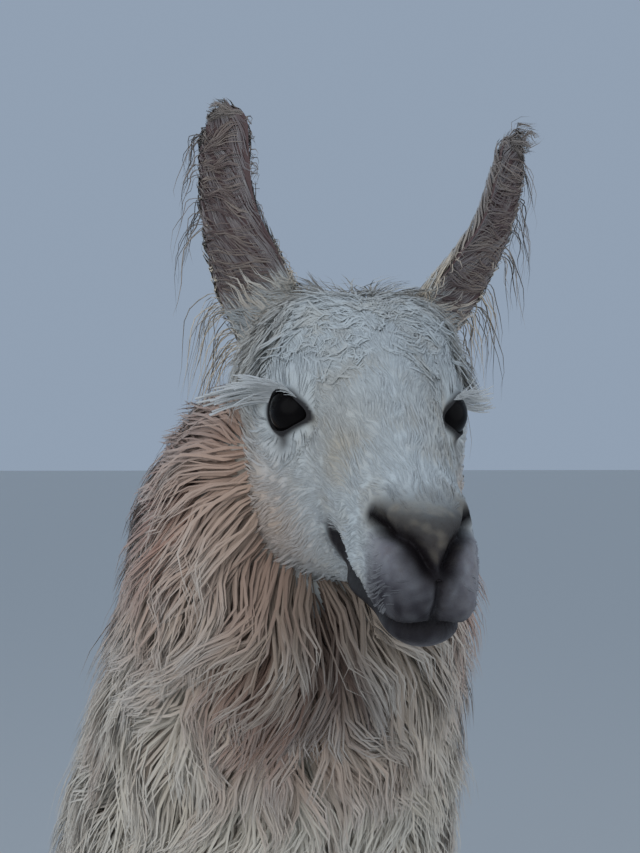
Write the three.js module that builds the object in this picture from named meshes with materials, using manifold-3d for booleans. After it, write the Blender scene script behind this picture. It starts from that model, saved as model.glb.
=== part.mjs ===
// A standing adult white llama in long wool, life size. Millimetres, +Z up, the llama faces -Y and its
// left side is +X. The outer face of each solid is where the tips of the coat lie.
import * as THREE from 'three';
import { mergeVertices } from 'three/addons/utils/BufferGeometryUtils.js';
import Module from 'manifold-3d';

const wasm = await Module();
wasm.setup();

// ---- driving sizes, in mm -------------------------------------------------------------------------
const GAP = 0.35; // clearance between neighbouring pieces
const WITHERS = 1155; // height of the back over the shoulders, in wool
const BELLY = 590; // height of the lowest belly wool
const BARREL_HALF = 252; // half the width of the barrel, in wool
const EYE_LEVEL = 1565; // height of the point between the eyes
const EYE_FORWARD = 800; // from the middle of the trunk forward to the eyes
const EYE_RADIUS = 21.5;
const EYE_SPREAD = 52; // centre of each eyeball from the head's middle plane
const EYE_FACING = 1.05; // radians that an eye looks away from straight ahead
const EYE_OPENING = [21, 15.5]; // half the breadth and half the height between the lids
const HEAD_OFFSET = 34; // the neck carries the head this far to its left
const NECK_LEAN = 18; // the top of the neck is this far to its left
const HEAD_SIZE = 1.06; // the head's own tables are drawn for a head of size 1
const HEAD_PITCH = 0.117; // radians, nose down
const HEAD_TURN = -0.107; // radians, towards its right
const HEAD_TILT = 0.012; // radians, left ear lower
const FORE_SPREAD = 118; // foot centre from the middle plane
const HIND_SPREAD = 122;
const FORE_PLACE = -372; // front legs, along the body
const HIND_PLACE = 385; // hind cannons, along the body
const ANKLE = 78; // height where a leg meets its foot
const TOE_LENGTH = 106;
const TOE_HALF = 24;
const EAR_LENGTH = 190;

const paint = (color, roughness) => new THREE.MeshStandardMaterial({ color, roughness, metalness: 0 });
const MATERIALS = {
  fleece: paint(0xd9cbb6, 0.95),
  face: paint(0xdcdcd6, 0.9),
  ear: paint(0xbdb2a6, 0.9),
  eye: paint(0x0d0b0c, 0.12),
  foot: paint(0x8f8377, 0.85),
  nail: paint(0x4b423b, 0.45),
};

// ---- making closed bodies -------------------------------------------------------------------------
// Joins rings of equal length into a closed body, with a fan over each end.
function loft(rings) {
  const count = rings[0].length;
  const points = rings.flat();
  const ends = [rings[0], rings[rings.length - 1]].map((ring) =>
    ring.reduce((sum, p) => sum.add(p), new THREE.Vector3()).divideScalar(count));
  const faces = [];
  for (let r = 0; r + 1 < rings.length; r += 1) {
    for (let i = 0; i < count; i += 1) {
      const a = r * count + i;
      const b = r * count + ((i + 1) % count);
      faces.push(a, b, a + count, b, b + count, a + count);
    }
  }
  const [first, last] = [points.length, points.length + 1];
  const top = (rings.length - 1) * count;
  for (let i = 0; i < count; i += 1) {
    const j = (i + 1) % count;
    faces.push(first, j, i, last, top + i, top + j);
  }
  const geometry = new THREE.BufferGeometry().setFromPoints([...points, ...ends]);
  geometry.setIndex(faces);
  return geometry;
}

// A closed mesh as a solid for cutting and joining; one that came out inside out is turned.
function solid(geometry) {
  const bare = geometry.clone();
  bare.deleteAttribute('normal');
  bare.deleteAttribute('uv');
  const merged = mergeVertices(bare, 1e-3);
  const build = (triVerts) => new wasm.Manifold(new wasm.Mesh({
    numProp: 3,
    vertProperties: merged.attributes.position.array,
    triVerts,
  }));
  const made = build(new Uint32Array(merged.index.array));
  return made.volume() > 0 ? made : build(new Uint32Array(merged.index.array).reverse());
}

// A cut can leave crumbs behind; only the largest piece is kept.
const mainPiece = (body) => body.decompose().reduce((best, one) => (one.volume() > best.volume() ? one : best));

function geometryOf(body) {
  const mesh = body.getMesh();
  const geometry = new THREE.BufferGeometry();
  geometry.setAttribute('position', new THREE.BufferAttribute(mesh.vertProperties, 3));
  geometry.setIndex(new THREE.BufferAttribute(mesh.triVerts, 1));
  geometry.computeVertexNormals();
  return geometry;
}

function box(low, high) {
  const size = high.map((h, i) => h - low[i]);
  const middle = high.map((h, i) => (h + low[i]) / 2);
  return solid(new THREE.BoxGeometry(...size).translate(...middle));
}

// Reads a table of stations at any place along it: every number is carried along a smooth curve.
function alongStations(stations) {
  const keys = Object.keys(stations[0]);
  const curves = keys.map((key) => new THREE.CatmullRomCurve3(
    stations.map((station, i) => new THREE.Vector3(i, station[key], 0)), false, 'catmullrom', 0.5));
  return (t) => Object.fromEntries(keys.map((key, k) => [key, curves[k].getPoint(t).y]));
}

const steps = (count, from = 0, to = 1) =>
  Array.from({ length: count }, (_, i) => from + ((to - from) * i) / (count - 1));
const power = (value, exponent) => Math.sign(value) * Math.abs(value) ** exponent;
const bell = (distance, reach) => Math.exp(-((distance / reach) ** 2));

// ---- trunk and neck -------------------------------------------------------------------------------
// Each station is a slice from the back line to the belly line; on the neck these are nape and throat.
const TORSO = [
  { backY: 590, backZ: 980, bellyY: 588, bellyZ: 885, half: 55, lean: 0 },
  { backY: 558, backZ: 1062, bellyY: 545, bellyZ: 775, half: 138, lean: 0 },
  { backY: 465, backZ: 1122, bellyY: 450, bellyZ: BELLY + 85, half: 203, lean: 0 },
  { backY: 310, backZ: 1145, bellyY: 310, bellyZ: BELLY + 30, half: 242, lean: 0 },
  { backY: 110, backZ: 1138, bellyY: 110, bellyZ: BELLY, half: BARREL_HALF, lean: 0 },
  { backY: -90, backZ: 1136, bellyY: -110, bellyZ: BELLY, half: BARREL_HALF, lean: 0 },
  { backY: -235, backZ: WITHERS, bellyY: -310, bellyZ: BELLY + 18, half: 242, lean: 0 },
  { backY: -325, backZ: 1188, bellyY: -470, bellyZ: BELLY + 95, half: 232, lean: 0 },
  { backY: -376, backZ: 1244, bellyY: -575, bellyZ: BELLY + 235, half: 228, lean: 0 },
  { backY: -412, backZ: 1310, bellyY: -645, bellyZ: 975, half: 222, lean: 0.1 },
  { backY: -445, backZ: 1375, bellyY: -702, bellyZ: 1115, half: 205, lean: 0.35 },
  { backY: -478, backZ: 1445, bellyY: -752, bellyZ: 1235, half: 189, lean: 0.55 },
  { backY: -508, backZ: 1520, bellyY: -792, bellyZ: 1335, half: 180, lean: 0.5 },
  { backY: -547, backZ: 1570, bellyY: -800, bellyZ: 1425, half: 156, lean: 0.35 },
  { backY: -612, backZ: 1606, bellyY: -778, bellyZ: 1492, half: 116, lean: 0.1 },
];
const NECK_START = 0.545; // share of the stations where the neck leaves the trunk
const torsoAt = alongStations(TORSO);
const TUFT_DEPTH = 5; // how far the tips of the locks stand proud of the hollows between them

// A slice through the torso: an oval a little fuller than an ellipse, with staggered locks round it.
function torsoRing(t, grow = 0, points = 28) {
  const s = torsoAt(t);
  const back = new THREE.Vector3(s.lean * NECK_LEAN, s.backY, s.backZ);
  const belly = new THREE.Vector3(s.lean * NECK_LEAN, s.bellyY, s.bellyZ);
  const middle = back.clone().add(belly).multiplyScalar(0.5);
  const up = back.clone().sub(belly).normalize();
  const rise = back.distanceTo(belly) / 2 + grow;
  return Array.from({ length: points }, (_, i) => {
    const angle = (i / points) * 2 * Math.PI;
    const lock = TUFT_DEPTH * Math.sin(angle * 8) * Math.sin(t * 62 + 1.2 * Math.cos(angle * 3));
    const across = (s.half + grow + lock) * power(Math.sin(angle), 0.92);
    return middle.clone()
      .addScaledVector(up, (rise + lock) * power(Math.cos(angle), 0.92))
      .add(new THREE.Vector3(across, 0, 0));
  });
}

const torsoBody = (from, to, rings, grow = 0) =>
  solid(loft(steps(rings, from, to).map((t) => torsoRing(t, grow))));

// ---- tail -----------------------------------------------------------------------------------------
const TAIL = [
  { y: 520, z: 1075, half: 40 },
  { y: 600, z: 1062, half: 47 },
  { y: 655, z: 1000, half: 56 },
  { y: 672, z: 905, half: 60 },
  { y: 664, z: 815, half: 40 },
  { y: 660, z: 780, half: 12 },
];

function ovalRing(centre, side, front, halfSide, halfFront, points, fullness = 1) {
  return Array.from({ length: points }, (_, i) => {
    const angle = (i / points) * 2 * Math.PI;
    return centre.clone()
      .addScaledVector(side, halfSide * power(Math.sin(angle), fullness))
      .addScaledVector(front, halfFront * power(Math.cos(angle), fullness));
  });
}

function tailBody() {
  const at = alongStations(TAIL);
  const centre = (t) => new THREE.Vector3(0, at(t).y, at(t).z);
  const side = new THREE.Vector3(1, 0, 0);
  return solid(loft(steps(12).map((t) => {
    const ahead = centre(Math.min(t + 0.02, 1)).sub(centre(Math.max(t - 0.02, 0))).normalize();
    const front = new THREE.Vector3().crossVectors(side, ahead);
    return ovalRing(centre(t), side, front, at(t).half * 1.05, at(t).half * 0.85, 12);
  })));
}

// ---- legs and feet --------------------------------------------------------------------------------
// Stations run down a leg; y is measured from where its foot stands, spread from the foot's own x.
const FORELEG = [
  { z: 830, y: 34, spread: 2, half: 92, deep: 130 },
  { z: 690, y: 26, spread: 2, half: 88, deep: 118 },
  { z: 570, y: 10, spread: 2, half: 66, deep: 80 },
  { z: 470, y: 0, spread: 0, half: 51, deep: 58 },
  { z: 372, y: -4, spread: 0, half: 46, deep: 51 },
  { z: 290, y: 2, spread: 0, half: 35, deep: 39 },
  { z: 180, y: 4, spread: 0, half: 31, deep: 36 },
  { z: 115, y: 0, spread: 0, half: 36, deep: 42 },
  { z: ANKLE, y: -9, spread: 0, half: 39, deep: 44 },
];
const HINDLEG = [
  { z: 900, y: -40, spread: 6, half: 92, deep: 120 },
  { z: 780, y: -46, spread: 12, half: 104, deep: 150 },
  { z: 660, y: -44, spread: 8, half: 86, deep: 128 },
  { z: 560, y: -8, spread: 3, half: 62, deep: 88 },
  { z: 470, y: 34, spread: 0, half: 46, deep: 62 },
  { z: 420, y: 42, spread: 0, half: 41, deep: 52 },
  { z: 320, y: 30, spread: 0, half: 34, deep: 40 },
  { z: 190, y: 14, spread: 0, half: 31, deep: 36 },
  { z: 115, y: 4, spread: 0, half: 36, deep: 42 },
  { z: ANKLE, y: -6, spread: 0, half: 39, deep: 44 },
];

function legBody(stations, x, y, from, to, rings) {
  const at = alongStations(stations);
  const side = new THREE.Vector3(Math.sign(x), 0, 0);
  const front = new THREE.Vector3(0, -1, 0);
  return solid(loft(steps(rings, from, to).map((t) => {
    const s = at(t);
    const centre = new THREE.Vector3(x + Math.sign(x) * s.spread, y + s.y, s.z);
    return ovalRing(centre, side, front, s.half, s.deep, 12, 0.95);
  })));
}

// One toe from heel to tip: a rounded pad with a flat sole at floor level.
const TOE = [
  { along: -0.52, half: 0.45, high: 22 },
  { along: -0.36, half: 0.95, high: 44 },
  { along: -0.06, half: 1.0, high: 56 },
  { along: 0.26, half: 0.92, high: 40 },
  { along: 0.5, half: 0.5, high: 20 },
];

function toeBody(x, y, turn) {
  const at = alongStations(TOE);
  const rings = steps(6).map((t) => {
    const s = at(t);
    const centre = new THREE.Vector3(0, -s.along * TOE_LENGTH, s.high * 0.28);
    return ovalRing(centre, new THREE.Vector3(1, 0, 0), new THREE.Vector3(0, 0, 1),
      s.half * TOE_HALF, s.high * 0.72, 10, 0.8);
  });
  return solid(loft(rings).rotateZ(turn).translate(x, y, 0));
}

// A nail is a blunt curved wedge over the front of its toe.
function nailBody(x, y, turn, grow = 0) {
  const rings = steps(3).map((t) => {
    const half = 10.5 * Math.cos(t * 1.25) + 1.2 + grow;
    const centre = new THREE.Vector3(0, -0.36 * TOE_LENGTH - 26 * t, 17 - 5 * t * t);
    return ovalRing(centre, new THREE.Vector3(1, 0, 0), new THREE.Vector3(0, 0, 1), half, half * 0.85, 8);
  });
  return solid(loft(rings).rotateZ(turn).translate(x, y, 0));
}

// Slices of the pastern, from the leg down into the toes.
const PASTERN = [
  { back: 9, z: ANKLE, half: 39, deep: 44 },
  { back: 15, z: ANKLE - 25, half: 41, deep: 46 },
  { back: 17, z: ANKLE - 56, half: 27, deep: 30 },
];

// The two toes of a foot spread a little; the pastern over them meets the leg at the ankle.
function footPieces(name, x, y) {
  const splay = 0.09;
  const toes = [-1, 1].map((side) => ({ side, x: x + side * 24.5, y: y - 30, turn: side * splay }));
  const pastern = solid(loft(PASTERN.map(({ back, z, half, deep }) =>
    ovalRing(new THREE.Vector3(x, y - back, z), new THREE.Vector3(1, 0, 0), new THREE.Vector3(0, -1, 0),
      half, deep, 12, 0.95))));
  const reach = 200;
  const room = box([x - reach, y - reach, 0], [x + reach, y + reach, ANKLE - GAP]);
  let foot = toes.reduce((sum, toe) => sum.add(toeBody(toe.x, toe.y, toe.turn)), pastern).intersect(room);
  const nails = toes.map((toe) => {
    foot = foot.subtract(nailBody(toe.x, toe.y, toe.turn, GAP));
    return { name: `${name}_nail_${toe.side < 0 ? 'right' : 'left'}`, body: nailBody(toe.x, toe.y, toe.turn) };
  });
  return [{ name: `${name}_foot`, body: foot, material: 'foot' },
    ...nails.map((nail) => ({ ...nail, material: 'nail' }))];
}

// ---- head -----------------------------------------------------------------------------------------
// The head's own frame: origin midway between the eyes, x to its left, y backwards, z up.
// wide is the height of the broadest line of a slice, brow its fullness above it, jaw the same below.
const HEAD = [
  { y: 150, top: 44, bottom: -70, wide: -14, half: 48, brow: 0.9, jaw: 1 },
  { y: 134, top: 76, bottom: -104, wide: -18, half: 79, brow: 0.66, jaw: 0.95 },
  { y: 100, top: 95, bottom: -134, wide: -26, half: 94, brow: 0.54, jaw: 0.78 },
  { y: 60, top: 98, bottom: -146, wide: -36, half: 94, brow: 0.56, jaw: 0.66 },
  { y: 24, top: 89, bottom: -141, wide: -46, half: 83, brow: 0.68, jaw: 0.68 },
  { y: -8, top: 68, bottom: -128, wide: -50, half: 66, brow: 0.86, jaw: 0.76 },
  { y: -42, top: 44, bottom: -112, wide: -50, half: 51, brow: 0.88, jaw: 0.9 },
  { y: -78, top: 18, bottom: -106, wide: -56, half: 44, brow: 0.9, jaw: 0.88 },
  { y: -112, top: -6, bottom: -105, wide: -64, half: 38, brow: 0.9, jaw: 0.86 },
  { y: -142, top: -24, bottom: -117, wide: -72, half: 34, brow: 0.85, jaw: 0.82 },
  { y: -164, top: -37, bottom: -120, wide: -78, half: 32, brow: 0.85, jaw: 0.82 },
  { y: -180, top: -52, bottom: -112, wide: -80, half: 25, brow: 0.9, jaw: 0.9 },
  { y: -188, top: -68, bottom: -96, wide: -80, half: 13, brow: 1, jaw: 1 },
];
// Soft swellings and hollows, mirrored to both sides: centre, reach and push, all in the head's frame.
const FEATURES = [
  { name: 'eye socket', at: [62, 2, 2], reach: 26, push: [7, -2, 0] },
  { name: 'brow', at: [60, -8, 24], reach: 17, push: [4, -3, 2] },
  { name: 'tear furrow', at: [50, -32, -8], reach: 13, push: [-5, 3, -1] },
  { name: 'cheek bone', at: [60, -22, -42], reach: 22, push: [2, -1, 0] },
  { name: 'jaw muscle', at: [62, 50, -80], reach: 40, push: [5, 0, -2] },
  { name: 'nostril top', at: [30, -158, -42], reach: 8, push: [-5, 6, -2] },
  { name: 'nostril foot', at: [20, -176, -55], reach: 8, push: [-4, 6, -1] },
  { name: 'nostril wing', at: [33, -150, -44], reach: 13, push: [3, -1, 2] },
  { name: 'upper lip', at: [20, -180, -78], reach: 15, push: [3, -5, 0] },
  { name: 'lip cleft', at: [0, -190, -72], reach: 8, push: [0, 5, 0] },
  { name: 'chin', at: [0, -160, -112], reach: 20, push: [0, -4, -3] },
];
const MOUTH = { corner: [42, -96, -82], middle: [36, -140, -92], front: [0, -186, -96], half: 5, deep: 6 };

function headRing(t, at, grow, points) {
  const s = at(t);
  const place = s.y + (t === 0 ? grow : 0);
  return Array.from({ length: points }, (_, i) => {
    const angle = (i / points) * 2 * Math.PI;
    const upper = Math.cos(angle) > 0;
    const fullness = upper ? s.brow : s.jaw;
    const tall = (upper ? s.top - s.wide : s.wide - s.bottom) + grow;
    return new THREE.Vector3((s.half + grow) * power(Math.sin(angle), fullness), place,
      s.wide + tall * power(Math.cos(angle), fullness));
  });
}

// Pushes one point of the head by every feature near it, and sinks the line of the mouth.
function shapeFace(p) {
  const moved = p.clone();
  for (const { at: [x, y, z], reach, push } of FEATURES) {
    for (const side of x ? [-1, 1] : [1]) {
      const share = bell(p.distanceTo(new THREE.Vector3(side * x, y, z)), reach);
      moved.add(new THREE.Vector3(side * push[0], push[1], push[2]).multiplyScalar(share));
    }
  }
  return moved;
}

const mouthCurve = new THREE.QuadraticBezierCurve3(
  ...['corner', 'middle', 'front'].map((key) => new THREE.Vector3(...MOUTH[key])));

function sinkMouth(p) {
  const mirrored = new THREE.Vector3(Math.abs(p.x), p.y, p.z);
  const nearest = Math.min(...steps(15).map((t) => mirrored.distanceTo(mouthCurve.getPoint(t))));
  const inward = new THREE.Vector3(-p.x, -110 - p.y, 0).normalize();
  return p.clone().addScaledVector(inward, MOUTH.deep * bell(nearest, MOUTH.half));
}

function headBody(grow = 0) {
  const at = alongStations(HEAD);
  const rings = steps(24).map((t) => headRing(t, at, grow, 28).map((p) => sinkMouth(shapeFace(p))));
  return solid(loft(rings));
}

// The centre of an eyeball, which sits a little behind the point midway between the eyes.
const eyePlace = (side) => [side * EYE_SPREAD, 3, 0];

function eyeBody(side, grow = 0) {
  const ball = new THREE.SphereGeometry(EYE_RADIUS + grow, 12, 7);
  return solid(ball.rotateZ(Math.PI / 2).translate(...eyePlace(side)));
}

// The almond-shaped hollow that leaves the front of an eye open between its lids.
function lidOpening(side) {
  const [half, high] = EYE_OPENING;
  const opening = new THREE.SphereGeometry(1, 12, 8).scale(half, 34, high).translate(0, -EYE_RADIUS - 6, 0);
  return solid(opening.rotateZ(side * EYE_FACING).translate(...eyePlace(side)));
}

// ---- ears -----------------------------------------------------------------------------------------
// An ear is a long cupped blade, banana shaped. out and back are how far its middle line strays from
// straight up; half is half its breadth from rim to rim, cup how deep it is hollowed.
const EAR_FORM = [
  { up: -0.1, out: -8, back: 4, half: 26, cup: 18, thick: 14 },
  { up: 0.12, out: 4, back: 2, half: 36, cup: 26, thick: 10 },
  { up: 0.32, out: 19, back: 0, half: 33, cup: 22, thick: 8 },
  { up: 0.56, out: 33, back: 2, half: 25, cup: 16, thick: 7 },
  { up: 0.79, out: 36, back: 6, half: 23, cup: 12, thick: 6 },
  { up: 0.94, out: 33, back: 10, half: 17, cup: 7, thick: 6 },
  { up: 1.0, out: 30, back: 12, half: 9, cup: 3, thick: 5 },
];
const EARS = [
  { name: 'ear_left', side: 1, place: [70, 90, 58], lean: 0.2, open: 0.75 },
  { name: 'ear_right', side: -1, place: [-70, 90, 58], lean: 0.02, open: 0.4 },
];

function earRing(s, side, open, points) {
  const middle = new THREE.Vector3(side * s.out, s.back, s.up * EAR_LENGTH);
  const across = new THREE.Vector3(Math.cos(open), side * Math.sin(open), 0);
  const behind = new THREE.Vector3(-side * Math.sin(open), Math.cos(open), 0);
  return Array.from({ length: points }, (_, i) => {
    const angle = (i / points) * 2 * Math.PI;
    const share = Math.sin(angle);
    const bowl = s.cup * (1 - share * share);
    return middle.clone()
      .addScaledVector(across, s.half * share)
      .addScaledVector(behind, bowl + (s.thick / 2) * power(Math.cos(angle), 0.7));
  });
}

function earBody({ side, place, lean, open }) {
  const at = alongStations(EAR_FORM);
  const geometry = loft(steps(12).map((t) => earRing(at(t), side, open, 12)));
  geometry.rotateY(side * lean);
  return solid(geometry.translate(...place));
}

// ---- putting the llama together -------------------------------------------------------------------
const HEAD_FRAME = new THREE.Matrix4().compose(
  new THREE.Vector3(HEAD_OFFSET, -EYE_FORWARD, EYE_LEVEL),
  new THREE.Quaternion().setFromEuler(new THREE.Euler(HEAD_PITCH, HEAD_TILT, HEAD_TURN, 'ZXY')),
  new THREE.Vector3(HEAD_SIZE, HEAD_SIZE, HEAD_SIZE),
);

const onNeck = (body) => body.transform(HEAD_FRAME.toArray());

const trunkBody = (grow) => torsoBody(0, NECK_START, 18, grow);
const neckBody = (grow) => torsoBody(NECK_START + 0.0006, 1, 16, grow);
const eyes = [-1, 1].map((side) => ({
  name: side < 0 ? 'eye_right' : 'eye_left',
  body: onNeck(eyeBody(side)),
  material: 'eye',
}));
const head = mainPiece(onNeck([-1, 1].reduce(
  (rest, side) => rest.subtract(eyeBody(side, GAP)).subtract(lidOpening(side)), headBody())));
const headRoom = onNeck(headBody(GAP));
const neck = mainPiece(neckBody(0).subtract(headRoom));
const ears = EARS.map((ear) => ({
  name: ear.name,
  body: mainPiece(onNeck(earBody(ear)).subtract(headRoom).subtract(neckBody(GAP))),
  material: 'ear',
}));

const legs = [
  { name: 'foreleg_right', stations: FORELEG, x: -FORE_SPREAD, y: FORE_PLACE, joint: 0.5 },
  { name: 'foreleg_left', stations: FORELEG, x: FORE_SPREAD, y: FORE_PLACE, joint: 0.5 },
  { name: 'hindleg_right', stations: HINDLEG, x: -HIND_SPREAD, y: HIND_PLACE, joint: 0.5 },
  { name: 'hindleg_left', stations: HINDLEG, x: HIND_SPREAD, y: HIND_PLACE, joint: 0.5 },
];
const trunkRoom = trunkBody(GAP).add(neckBody(GAP));
const legPieces = legs.flatMap(({ name, stations, x, y, joint }) => [
  { name: `${name}_upper`, body: mainPiece(legBody(stations, x, y, 0, joint, 8).subtract(trunkRoom)), material: 'fleece' },
  { name: `${name}_lower`, body: legBody(stations, x, y, joint + 0.0015, 1, 9), material: 'face' },
  ...footPieces(name, x, y),
]);

const pieces = [
  { name: 'trunk', body: trunkBody(0), material: 'fleece' },
  { name: 'neck', body: neck, material: 'fleece' },
  { name: 'tail', body: mainPiece(tailBody().subtract(trunkRoom)), material: 'fleece' },
  { name: 'head', body: head, material: 'face' },
  ...eyes,
  ...ears,
  ...legPieces,
];

const standing = new THREE.Group();
for (const { name, body, material } of pieces) {
  const mesh = new THREE.Mesh(geometryOf(body), MATERIALS[material]);
  mesh.name = name;
  standing.add(mesh);
}

// The origin is under the middle of the animal, on the floor.
const bounds = new THREE.Box3().setFromObject(standing);
standing.position.set(-(bounds.min.x + bounds.max.x) / 2, -(bounds.min.y + bounds.max.y) / 2, -bounds.min.z);
const llama = new THREE.Group();
llama.add(standing);

export default llama;
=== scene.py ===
import math
from functools import lru_cache

import bmesh
import bpy
import numpy as np
from mathutils import Euler, Matrix, Vector
from mathutils.bvhtree import BVHTree
from mathutils.kdtree import KDTree


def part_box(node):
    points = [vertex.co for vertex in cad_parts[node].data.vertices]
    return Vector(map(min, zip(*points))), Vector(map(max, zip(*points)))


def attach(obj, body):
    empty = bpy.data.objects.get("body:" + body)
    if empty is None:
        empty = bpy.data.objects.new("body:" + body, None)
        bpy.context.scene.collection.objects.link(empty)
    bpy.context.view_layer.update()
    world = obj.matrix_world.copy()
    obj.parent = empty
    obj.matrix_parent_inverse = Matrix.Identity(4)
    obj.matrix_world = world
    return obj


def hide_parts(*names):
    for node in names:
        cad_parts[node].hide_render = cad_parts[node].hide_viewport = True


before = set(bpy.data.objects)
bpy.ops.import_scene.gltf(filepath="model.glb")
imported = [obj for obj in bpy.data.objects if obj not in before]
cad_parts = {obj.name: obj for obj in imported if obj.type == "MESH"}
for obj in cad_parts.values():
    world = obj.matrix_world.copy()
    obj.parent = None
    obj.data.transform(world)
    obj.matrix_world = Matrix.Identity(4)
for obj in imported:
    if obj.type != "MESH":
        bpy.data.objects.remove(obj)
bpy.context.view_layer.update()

MM = 0.001
TAU = 2 * math.pi

# ---- where the head is ----------------------------------------------------------------------------
HEAD_SIZE = 1.06
HEAD_TURNED = Euler((0.117, 0.012, -0.107))
HEAD_PLACE_MM = Vector((34, -800, 1565))
EYE_CENTRE = (52, 3, 0)
EYE_RADIUS = 21.5
EYE_FACING = 1.05


def box_middle(node):
    low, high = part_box(node)
    return (low + high) / 2


def put_in_scene(name, data):
    made = bpy.data.objects.new(name, data)
    bpy.context.scene.collection.objects.link(made)
    return made


HEAD_AXES = (Matrix.Rotation(HEAD_TURNED.z, 3, "Z") @ Matrix.Rotation(HEAD_TURNED.x, 3, "X")
             @ Matrix.Rotation(HEAD_TURNED.y, 3, "Y"))
eyes_middle = (box_middle("eye_left") + box_middle("eye_right")) / 2
HEAD_ORIGIN = eyes_middle - HEAD_AXES @ Vector((0, EYE_CENTRE[1], 0)) * HEAD_SIZE * MM
FRAME_SHIFT = np.array(HEAD_ORIGIN - HEAD_PLACE_MM * MM)

# ---- camera and light -----------------------------------------------------------------------------
CAMERA_YAW = math.radians(14.0)
CAMERA_DIP = math.radians(2.8)
CAMERA_TO_EYES = Vector((0.0387, 0.0109, -0.64))
LENS_MM = 34.4
SENSOR_MM = 36
FAR = 1000


def place_camera():
    """Stands the camera in front of the llama, a little to its right, with the eyes just above mid-frame."""
    right = Vector((math.cos(CAMERA_YAW), -math.sin(CAMERA_YAW), 0))
    level_back = Vector((-math.sin(CAMERA_YAW), -math.cos(CAMERA_YAW), 0))
    up = Vector((0, 0, 1))
    back = level_back * math.cos(CAMERA_DIP) - up * math.sin(CAMERA_DIP)
    lift = up * math.cos(CAMERA_DIP) + level_back * math.sin(CAMERA_DIP)
    turned = Matrix((right, lift, back)).transposed()
    data = bpy.data.cameras.new("camera")
    data.sensor_fit = "AUTO"
    data.sensor_width = SENSOR_MM
    data.lens = LENS_MM
    data.clip_end = FAR
    camera = put_in_scene("camera", data)
    place = eyes_middle - turned @ CAMERA_TO_EYES
    camera.matrix_world = Matrix.Translation(place) @ turned.to_4x4()
    bpy.context.scene.camera = camera


place_camera()

LIGHT_AIM = (0, -0.6, 1.35)
SOFT_WHITE = (0.95, 0.97, 1.0)


def add_light(name, place, size, watts):
    """A soft round lamp aimed at the head and neck."""
    data = bpy.data.lights.new(name, "AREA")
    data.shape = "DISK"
    data.size = size
    data.energy = watts
    data.color = SOFT_WHITE
    light = put_in_scene(name, data)
    light.location = place
    light.rotation_euler = (Vector(LIGHT_AIM) - Vector(place)).to_track_quat("-Z", "Y").to_euler()


# ---- shader writing -------------------------------------------------------------------------------
def set_socket(links, socket, value):
    """Links a socket to an output, or gives it a constant."""
    if isinstance(value, bpy.types.NodeSocket):
        links.new(value, socket)
    else:
        socket.default_value = value


def add_node(tree, kind, settings=None, inputs=None):
    """Adds a node by type: its settings first, then the values or links of its sockets."""
    made = tree.nodes.new(kind)
    for key, value in (settings or {}).items():
        setattr(made, key, value)
    for key, value in (inputs or {}).items():
        set_socket(tree.links, made.inputs[key], value)
    return made


def math_operator(operation, swapped=False):
    """One operator of Value: it adds a Math node on the two sides, in their order or swapped."""
    def operate(self, other):
        sides = (other, self) if swapped else (self, other)
        return self.paint.node("ShaderNodeMath", {"operation": operation}, dict(enumerate(sides)))
    return operate


class Value:
    """A shader socket that can be added, subtracted and multiplied."""

    def __init__(self, paint, socket):
        self.paint = paint
        self.socket = socket

    __add__ = math_operator("ADD")
    __radd__ = math_operator("ADD")
    __sub__ = math_operator("SUBTRACT")
    __rsub__ = math_operator("SUBTRACT", swapped=True)
    __mul__ = math_operator("MULTIPLY")
    __rmul__ = math_operator("MULTIPLY")

    def between(self, low, high):
        """0 below low, 1 above high, with a soft step in the middle."""
        return self.paint.node("ShaderNodeMapRange", {"interpolation_type": "SMOOTHSTEP"},
                               {"Value": self, "From Min": low, "From Max": high})


class Paint:
    """One material, with its nodes added by type, settings and socket values."""

    def __init__(self, name):
        self.material = bpy.data.materials.new(name)
        self.material.use_nodes = True
        self.tree = self.material.node_tree
        self.tree.nodes.clear()
        self.output = self.tree.nodes.new("ShaderNodeOutputMaterial")

    def node(self, kind, settings=None, inputs=None, out=0):
        plain = {key: value.socket if isinstance(value, Value) else value
                 for key, value in (inputs or {}).items()}
        return Value(self, add_node(self.tree, kind, settings, plain).outputs[out])

    def attribute(self, name, out="Color"):
        return self.node("ShaderNodeAttribute", {"attribute_name": name}, out=out)

    def channels(self, name):
        """The four numbers of a colour attribute."""
        parts = self.node("ShaderNodeSeparateColor", {}, {0: self.attribute(name)}).socket.node
        return [Value(self, parts.outputs[k]) for k in range(3)] + [self.attribute(name, "Alpha")]

    def combine(self, x, y, z):
        return self.node("ShaderNodeCombineXYZ", {}, {"X": x, "Y": y, "Z": z})

    def mix(self, share, first, second, blend="MIX"):
        """Two colours mixed; the colour sockets of the node are its inputs 6 and 7 and its output 2."""
        return self.node("ShaderNodeMix", {"data_type": "RGBA", "blend_type": blend},
                         {"Factor": share, 6: first, 7: second}, out=2)

    def darkened(self, share, tint, towards):
        """The tint multiplied by a darker colour, by a share."""
        return self.mix(share, tint, self.mix(1.0, tint, towards, "MULTIPLY"))

    def noise(self, place, scale, detail=2.0, roughness=0.6):
        return self.node("ShaderNodeTexNoise", {"noise_dimensions": "3D"},
                         {"Vector": place, "Scale": scale, "Detail": detail, "Roughness": roughness})

    def object_place(self):
        return self.node("ShaderNodeTexCoord", out="Object")

    def bump(self, height, strength, distance):
        return self.node("ShaderNodeBump", {}, {"Strength": strength, "Distance": distance, "Height": height})

    def surface(self, **inputs):
        shader = self.node("ShaderNodeBsdfPrincipled", {},
                           {key.replace("_", " "): value for key, value in inputs.items()})
        self.tree.links.new(shader.socket, self.output.inputs["Surface"])
        return self.material


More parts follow.
